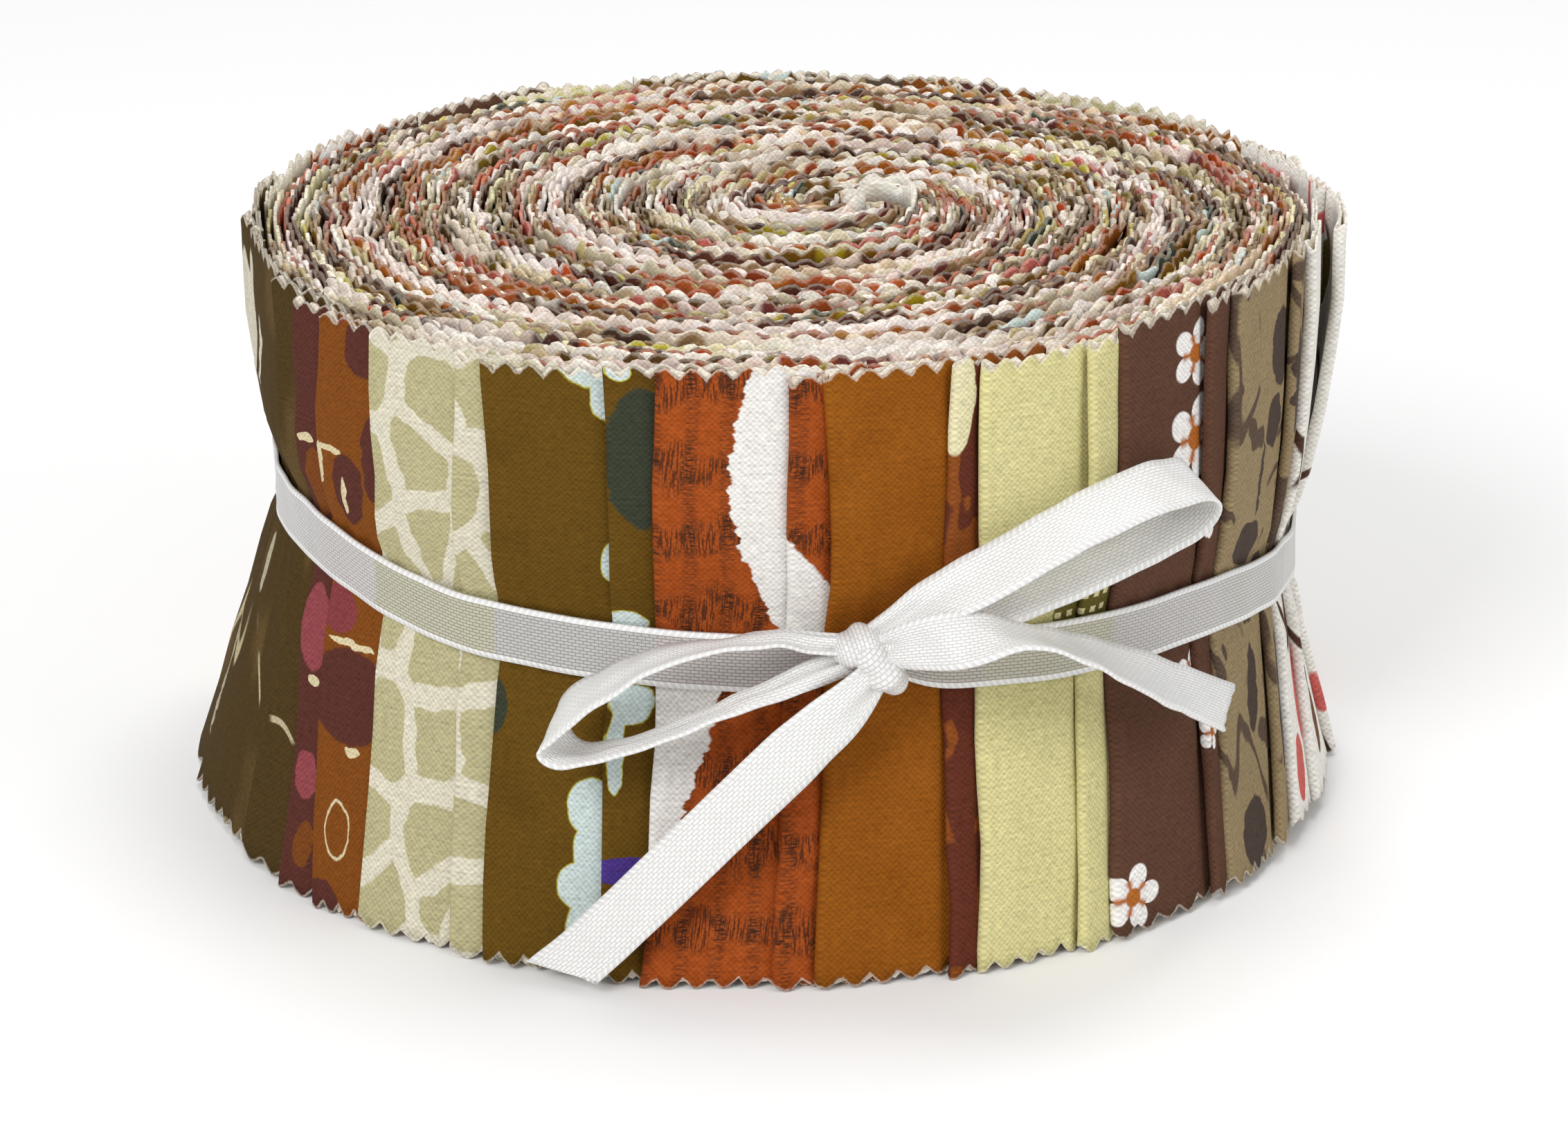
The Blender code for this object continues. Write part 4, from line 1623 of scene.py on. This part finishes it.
    def brushed(self) -> NodeSocket:
        """Orange brushed with dark crossing strokes, and a white swathe.

        Returns:
            The print's colour.
        """
        along, up = self.split(self.cloth)
        drift = self.stretched(self.cloth, (0.22, 0.16, 1.0), 2.0)
        weft = self.stretched(self.cloth, (1.0, 5.5, 1.0), 3.0)
        warp = self.stretched(self.cloth, (5.0, 0.5, 3.0), 3.0)
        colour = self.clouded("873B10", "A85324", 0.9, 4.0)
        column = self.math("SINE", self.math("MULTIPLY_ADD", along, 1.8, self.times(drift, 3.0)))
        row = self.math("SINE", self.math("MULTIPLY_ADD", up, 0.8, self.times(drift, 7.0)))
        columns = self.times(self.step(column, -0.3, 0.9), self.step(weft, 0.41, 0.60))
        rows = self.step(row, -0.2, 0.9)
        crossing = self.times(columns, self.spread(rows, 0.5, 1.0))
        strokes = self.times(rows, self.step(warp, 0.46, 0.56))
        dark = self.math("MAXIMUM", crossing, self.times(strokes, 0.8))
        colour = self.mix(dark, colour, "3A241A")
        ragged = self.spread(self.stretched(self.cloth, (0.3, 1.0, 1.0), 3.0), -1.1, 1.1)
        off = self.minus(up, 52.0)
        left = self.math("MULTIPLY_ADD", self.times(off, off), 0.018, 7.2)
        upper = self.step(self.math("ADD", self.minus(along, left), ragged), 0.0, 0.25)
        upper = self.times(upper, self.step(up, 32.0, 32.4))
        upper = self.times(upper, self.rest(self.beyond(15.5)))
        slope = self.math("MULTIPLY_ADD", self.minus(along, 20.0), -1.35, 45.6)
        slope = self.math("ADD", slope, ragged)
        bead = self.times(self.step(self.minus(slope, up), 0.0, 0.6), self.beyond(16.0))
        bead = self.times(bead, self.step(up, 30.0, 30.4))
        bead = self.times(bead, self.rest(self.beyond(self.far)))
        edge = self.math("MULTIPLY_ADD", up, 0.3, -1.6)
        lower = self.step(self.math("ADD", self.minus(edge, along), ragged), 0.0, 0.3)
        lower = self.times(lower, self.rest(self.step(up, 31.6, 32.0)))
        lower = self.times(lower, self.rest(self.beyond(15.5)))
        far = self.times(self.beyond(self.far), self.step(self.noise(self.cloth, 0.06), 0.56, 0.58))
        white = self.math("MAXIMUM", self.math("MAXIMUM", upper, bead), self.math("MAXIMUM", lower, far))
        return self.mix(white, colour, "DEDBD6")

    def caramel(self) -> NodeSocket:
        """Plain warm caramel, faintly clouded, with a cream wedge and maroon on its second fold.

        Returns:
            The print's colour.
        """
        colour = self.clouded("77410B", "96591A", 0.16, 5.0)
        bead = self.region("84481F", (0.25, 0.09, 1.0), 0.47, "5E2F22")
        bead = self.spot(bead, Spot(20.6, 58.5, 1.9, 5.6, 0.8), "D8D0A8")
        second = self.times(self.beyond(17.0), self.rest(self.beyond(self.far)))
        return self.mix(second, colour, bead)

    def straw(self) -> NodeSocket:
        """Light straw yellow, turning to olive with cream dotted rows.

        Returns:
            The print's colour.
        """
        along, up = self.split(self.cloth)
        colour = self.clouded("C8C086", "D0C994", 0.15, 3.0)
        rows = self.step(self.math("SINE", self.times(up, 3.4)), 0.2, 0.5)
        dots = self.step(self.math("SINE", self.times(along, 4.4)), -0.2, 0.2)
        olive = self.mix(self.times(rows, dots), "5C5426", "CFC79A")
        limit = self.spread(self.stretched(self.cloth, (0.5, 0.5, 1.0)), 37.0, 41.0)
        below = self.step(self.minus(limit, up), 0.0, 0.4)
        high = self.times(self.step(up, 29.0, 29.4), self.beyond(8.4))
        return self.mix(self.times(below, high), colour, olive)

    def blossom(self) -> NodeSocket:
        """Chocolate with white flowers that have orange brown hearts.

        Returns:
            The print's colour.
        """
        colour = self.clouded("563A2D", "5E4234", 0.2, 3.0)
        flowers = (
            (10.8, 58.4, 3.7), (10.9, 49.4, 4.7), (20.6, 40.0, 2.2), (21.4, 17.0, 2.0), (11.6, 23.0, 2.6),
            (2.0, 4.0, 3.2),
        )
        for start in (0.0, 150.0, 175.0, 200.0, 325.0, 350.0):
            for along, up, radius in flowers if start == 0.0 else flowers[:2] + flowers[5:]:
                node = self.group(
                    self.groups.flower, Vector=self.cloth, Centre=(start + along, up, 0.0), Radius=radius
                )
                colour = self.mix(node.outputs["Petals"], colour, "E6E3E0")
                colour = self.mix(node.outputs["Stamens"], colour, "A65E2A")
                colour = self.mix(node.outputs["Heart"], colour, "A8622A")
        return colour

    def leaves(self) -> NodeSocket:
        """Taupe with dark leaf and stem shadows.

        Returns:
            The print's colour.
        """
        colour = self.clouded("8A7859", "948263", 0.15, 3.0)
        colour = self.region(colour, (0.17, 0.12, 1.0), 0.60, "5A4A3E")
        colour = self.lines(colour, (0.10, 0.05, 1.0), 0.010, "5A4A3E", 0.45)
        dark = [
            Spot(11.4, 55.0, 2.4, 4.4, 2.0), Spot(10.0, 47.0, 2.2, 3.0, 2.0),
            Spot(7.4, 41.5, 0.6, 4.4, 2.5), Spot(5.6, 34.5, 3.2, 2.6, 2.0), Spot(10.0, 29.0, 1.6, 3.0, 2.0),
            Spot(8.6, 18.0, 1.8, 4.4, 2.0), Spot(7.4, 4.6, 3.8, 3.4, 2.0), Spot(22.0, 50.0, 1.8, 6.0, 2.0),
            Spot(21.6, 31.0, 1.4, 4.6, 2.0), Spot(23.0, 14.0, 1.6, 6.0, 2.0),
        ]
        return self.spots(colour, dark, "4B3F38")

    def branch(self) -> NodeSocket:
        """Cream with dark brown branches, coral blooms and brown leaves.

        Returns:
            The print's colour.
        """
        colour = self.clouded("DDD9D0", "E4E1DA", 0.2, 3.0)
        colour = self.lines(colour, (0.05, 0.028, 1.0), 0.007, "4E362C", 0.42)
        colour = self.spots(colour, [Spot(7.0, 13.0, 1.8, 5.0), Spot(3.4, 6.6, 2.2, 3.4)], "C2605A")
        colour = self.spots(colour, [Spot(24.5, 8.0, 1.6, 3.4), Spot(5.0, 36.0, 1.3, 3.2)], "6B4632")
        colour = self.spot(colour, Spot(7.0, 55.0, 1.5, 3.6), "6E6030")
        return self.mix(self.beyond(self.far), colour, self.region(colour, (0.13, 0.09, 3.0), 0.64, "C2605A"))

    def paint(self, design: Print) -> NodeSocket:
        """Paint a print.

        Args:
            design: The print.

        Returns:
            Its colour.
        """
        ways = {
            Print.TWIGS: self.twigs,
            Print.PATCHES: self.patches,
            Print.PEBBLES: self.pebbles,
            Print.WINGS: self.wings,
            Print.BRUSHED: self.brushed,
            Print.CARAMEL: self.caramel,
            Print.STRAW: self.straw,
            Print.BLOSSOM: self.blossom,
            Print.LEAVES: self.leaves,
            Print.BRANCH: self.branch,
        }
        return ways[design]()


def start_material(name: str) -> tuple[Material, Graph, Node]:
    """A new material, its graph and its Principled node.

    Args:
        name: Its name.

    Returns:
        The three.
    """
    material = bpy.data.materials.new(name)
    material.use_nodes = True
    return material, Graph(material.node_tree), material.node_tree.nodes["Principled BSDF"]


def cloth_place(graph: Graph) -> NodeSocket:
    """The cloth coordinates."""
    return graph.add("ShaderNodeUVMap", uv_map="cloth").outputs["UV"]


def painted(graph: Graph, name: str, output: str) -> NodeSocket:
    """What is painted on the points: their distance from the edge, or their dye."""
    return graph.add("ShaderNodeAttribute", attribute_name=name).outputs[output]


@dataclass(frozen=True)
class Finish:
    """A woven finish: the roughness between and on its threads, and how strongly they stand out."""

    groups: Groups
    roughness: tuple[float, float]
    bump: float

    def lay(self, graph: Graph, shader: Node, colour: Value, weave: Node) -> None:
        """Shade a colour by a weave's tone, which holds painted shade and sheen, and feed the weave's height
        to roughness and bump.

        Args:
            graph: The material's graph.
            shader: Its shader.
            colour: The colour.
            weave: The weave's node.
        """
        height = weave.outputs["Height"]
        tone = graph.vector("ADD", weave.outputs["Tone_And_Shading"], (0.0, 0.0, 0.0))
        relief = graph.add("ShaderNodeBump")
        graph.wire(relief, Strength=self.bump, Distance=BUMP_DISTANCE, Height=height)
        # painted shade and sheen: the weave's tone multiplies the colour
        graph.wire(shader, Base_Color=graph.mix(1.0, colour, tone, blend="MULTIPLY"))
        graph.wire(shader, Roughness=graph.spread(height, *self.roughness), Normal=relief.outputs["Normal"])


@dataclass(frozen=True)
class Cotton(Finish):
    """Printed quilting cotton: its print, a plain weave, and raw threads along the pinking."""

    roughness: tuple[float, float] = (0.8, 0.92)
    bump: float = 0.5
    pitch: float = 0.3
    fray: float = 0.16
    raw: str = "E6DED0"
    specular: float = 0.06

    def cover(self, graph: Graph, shader: Node, colour: Value, raw_share: float = 0.45) -> None:
        """Lay the weave, and some raw threads along the pinking, over a colour.

        Args:
            graph: The material's graph.
            shader: Its shader.
            colour: The colour.
            raw_share: How strongly the raw threads show.
        """
        cloth, edge = cloth_place(graph), painted(graph, "edge", "Fac")
        weave = graph.group(self.groups.weave, Vector=cloth, Pitch=self.pitch)
        mask = graph.group(self.groups.fray, Vector=cloth, Edge=edge, Reach=self.fray).outputs["Mask"]
        self.lay(graph, shader, graph.mix(graph.times(mask, raw_share), colour, self.raw), weave)
        graph.wire(shader, Specular_IOR_Level=self.specular)

    def face(self, design: Print) -> Material:
        """The printed side of one design.

        Args:
            design: The print.

        Returns:
            The material.
        """
        material, graph, shader = start_material(f"cotton_{design.value}")
        self.cover(graph, shader, Painter(graph.tree, self.groups).paint(design))
        return material

    def back(self) -> Material:
        """The wrong side, pale with a ghost of colour.

        Returns:
            The material.
        """
        material, graph, shader = start_material("cotton_wrong_side")
        self.cover(graph, shader, graph.mix(graph.noise(cloth_place(graph), 0.25, 3.0), "DDD2BE", "E9E2D6"))
        return material

    def wound(self) -> Material:
        """The wound lengths, whose colours are painted on their points.

        Returns:
            The material.
        """
        material, graph, shader = start_material("cotton_wound")
        fleck = graph.step(graph.stretched(cloth_place(graph), (0.55, 0.8, 1.0)), 0.54, 0.64)
        colour = graph.mix(graph.times(fleck, 0.25), painted(graph, "dye", "Color"), "B89C7C")
        self.cover(graph, shader, colour, raw_share=0.2)
        return material


@dataclass(frozen=True)
class Satin(Finish):
    """White satin ribbon, a little sheer: what lies behind it tints its middle."""

    roughness: tuple[float, float] = (0.45, 0.3)
    bump: float = 0.6
    colour: str = "F2F1EF"

    def build(self) -> Material:
        """Make the material. The tint of what lies behind is painted on the points.

        Returns:
            The material.
        """
        material, graph, shader = start_material("satin_floats")
        edge = painted(graph, "edge", "Fac")
        weave = graph.group(self.groups.satin, Vector=cloth_place(graph), Edge=edge)
        colour = graph.mix(weave.outputs["Solid"], painted(graph, "dye", "Color"), self.colour)
        self.lay(graph, shader, colour, weave)
        graph.wire(shader, Sheen_Weight=0.2, Sheen_Roughness=0.35, Specular_IOR_Level=0.5)
        return material


# The studio.


@dataclass(frozen=True)
class Studio:
    """A pale floor, soft lights and the camera."""

    target: tuple[float, float, float] = (0.9, 0.0, 20.4)
    distance: float = 480.0
    elevation: float = 20.6
    lens: float = 100.0
    sensor: float = 36.0
    aim: tuple[float, float, float] = (0.0, 0.0, 0.03)
    floor_size: float = 3.0
    sky: float = 0.52

    def camera(self) -> None:
        """Make the camera, and set it as the scene's."""
        made = show("camera", bpy.data.cameras.new("camera"))
        made.data.lens = self.lens
        made.data.sensor_width = self.sensor
        made.data.clip_start = 0.01
        tilt = math.radians(self.elevation)
        back = Vector((0.0, -math.cos(tilt), math.sin(tilt)))
        made.location = (Vector(self.target) + back * self.distance) * MM
        made.rotation_euler = (math.radians(90.0) - tilt, 0.0, 0.0)
        bpy.context.scene.camera = made

    def lamp(self, name: str, place: Sequence[float], size: float, power: float) -> None:
        """Add a soft square light that faces the roll.

        Args:
            name: Its name.
            place: Where it hangs, in metres.
            size: Its width in metres.
            power: Its power in watts.
        """
        made = show(name, bpy.data.lights.new(name, "AREA"))
        made.data.size = size
        made.data.energy = power
        made.location = place
        made.rotation_euler = (Vector(self.aim) - Vector(place)).to_track_quat("-Z", "Y").to_euler()

    def build(self) -> None:
        """Make the floor, the sky and the lights."""
        bm = bmesh.new()
        bmesh.ops.create_grid(bm, x_segments=1, y_segments=1, size=self.floor_size)
        mesh = write_mesh(bm, "floor")
        material, graph, shader = start_material("pale_floor")
        graph.wire(shader, Base_Color="FCFCFC", Roughness=0.8)
        mesh.materials.append(material)
        show("floor", mesh)
        world = bpy.data.worlds.new("studio")
        world.use_nodes = True
        Graph(world.node_tree).wire(world.node_tree.nodes["Background"], Color="FFFFFF", Strength=self.sky)
        bpy.context.scene.world = world
        self.lamp("key", (-0.55, -0.9, 0.8), 0.5, 8.0)
        self.lamp("fill", (0.9, -0.6, 0.5), 0.7, 3.0)
        self.lamp("top", (0.1, 0.35, 1.1), 0.5, 4.0)
        bpy.context.scene.view_settings.view_transform = "Standard"


# Assembly.


@dataclass
class Bow:
    """The ribbon: its band, knot, loops and tails."""

    side: Side
    finish: Material
    path_steps: int = 4

    def tails(self) -> None:
        """The two free ends, each a flat ribbon."""
        left = FreeRibbon("satin_tail_left", TAIL_LEFT, 8, "EDECEA", cut=-5.0)
        right = FreeRibbon("satin_tail_right", TAIL_RIGHT, 8, "ECEBE9", cut=-5.0, ragged=0.25)
        for ribbon, node in ((left, "ribbon_tail_left"), (right, "ribbon_tail_right")):
            made = ribbon.build(self.finish)
            path = ribbon.trace(self.path_steps)[2] * MM
            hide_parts(node)
            dress(made)

    def build(self) -> None:
        """The rest of the bow."""
        for piece, node in (
            (Band(self.side), "ribbon_band"),
            (Knot(), "ribbon_knot"),
            (FreeRibbon("satin_loop_right", LOOP_RIGHT, 7, "F4F3F1"), "ribbon_loop_right"),
            (FreeRibbon("satin_loop_left", LOOP_LEFT, 7, "F4F3F1"), "ribbon_loop_left"),
        ):
            made = piece.build(self.finish)
            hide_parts(node)
            dress(made)


@dataclass
class StripRoll:
    """The strips: folded ends outside, and bundles of wound lengths inside."""

    side: Side
    groups: Groups
    bundles: int = 6

    def place(self, made: Object, length: float) -> None:
        """Set a piece in the roll: hide the roll's own part and ride the piece on the roll's body.

        Args:
            made: The piece.
            length: Its flat length. Not used.
        """
        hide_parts("roll")
        dress(made)

    def build(self) -> None:
        """Make every strip."""
        cotton = Cotton(self.groups)
        faces = {design: cotton.face(design) for design in Print}
        back, wound = cotton.back(), cotton.wound()
        ends = all_ends()
        winding = Winding(self.side)
        lengths = []
        for number, end in enumerate(ends):
            folded = FoldedEnd(self.side, end, ends[(number + 1) % len(ends)].fold, number)
            grid = folded.grid()
            name = f"strip_{number + 1:02d}_{end.design.value}"
            self.place(write_cloth(name, [grid], folded.ply, [faces[end.design], back]), grid.length())
            lengths.append(winding.strip(end, folded.width(), number))
        share = len(ends) // self.bundles
        for bundle in range(self.bundles):
            grids = lengths[bundle * share : (bundle + 1) * share]
            made = write_cloth(f"wound_strips_{bundle + 1}", grids, winding.thickness, [wound])
            self.place(made, share * 0.5 * STRIP_LENGTH * MM)


def dress(made: Object) -> None:
    """Ride a piece on the roll's one body, and log how many faces it has.

    Args:
        made: The piece.
    """
    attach(made, "root")
    LOG.info("%s: %d faces", made.name, len(made.data.polygons))


def main() -> None:
    """Build the camera, the ribbon, the strips and the studio, and log each piece's face count."""
    studio = Studio()
    studio.camera()
    side, groups = Side(), Groups()
    bow = Bow(side, Satin(groups).build())
    bow.tails()
    bow.build()
    StripRoll(side, groups).build()
    studio.build()


if __name__ == "__main__":
    logging.basicConfig(level=logging.INFO, format="%(name)s: %(message)s")
    main()
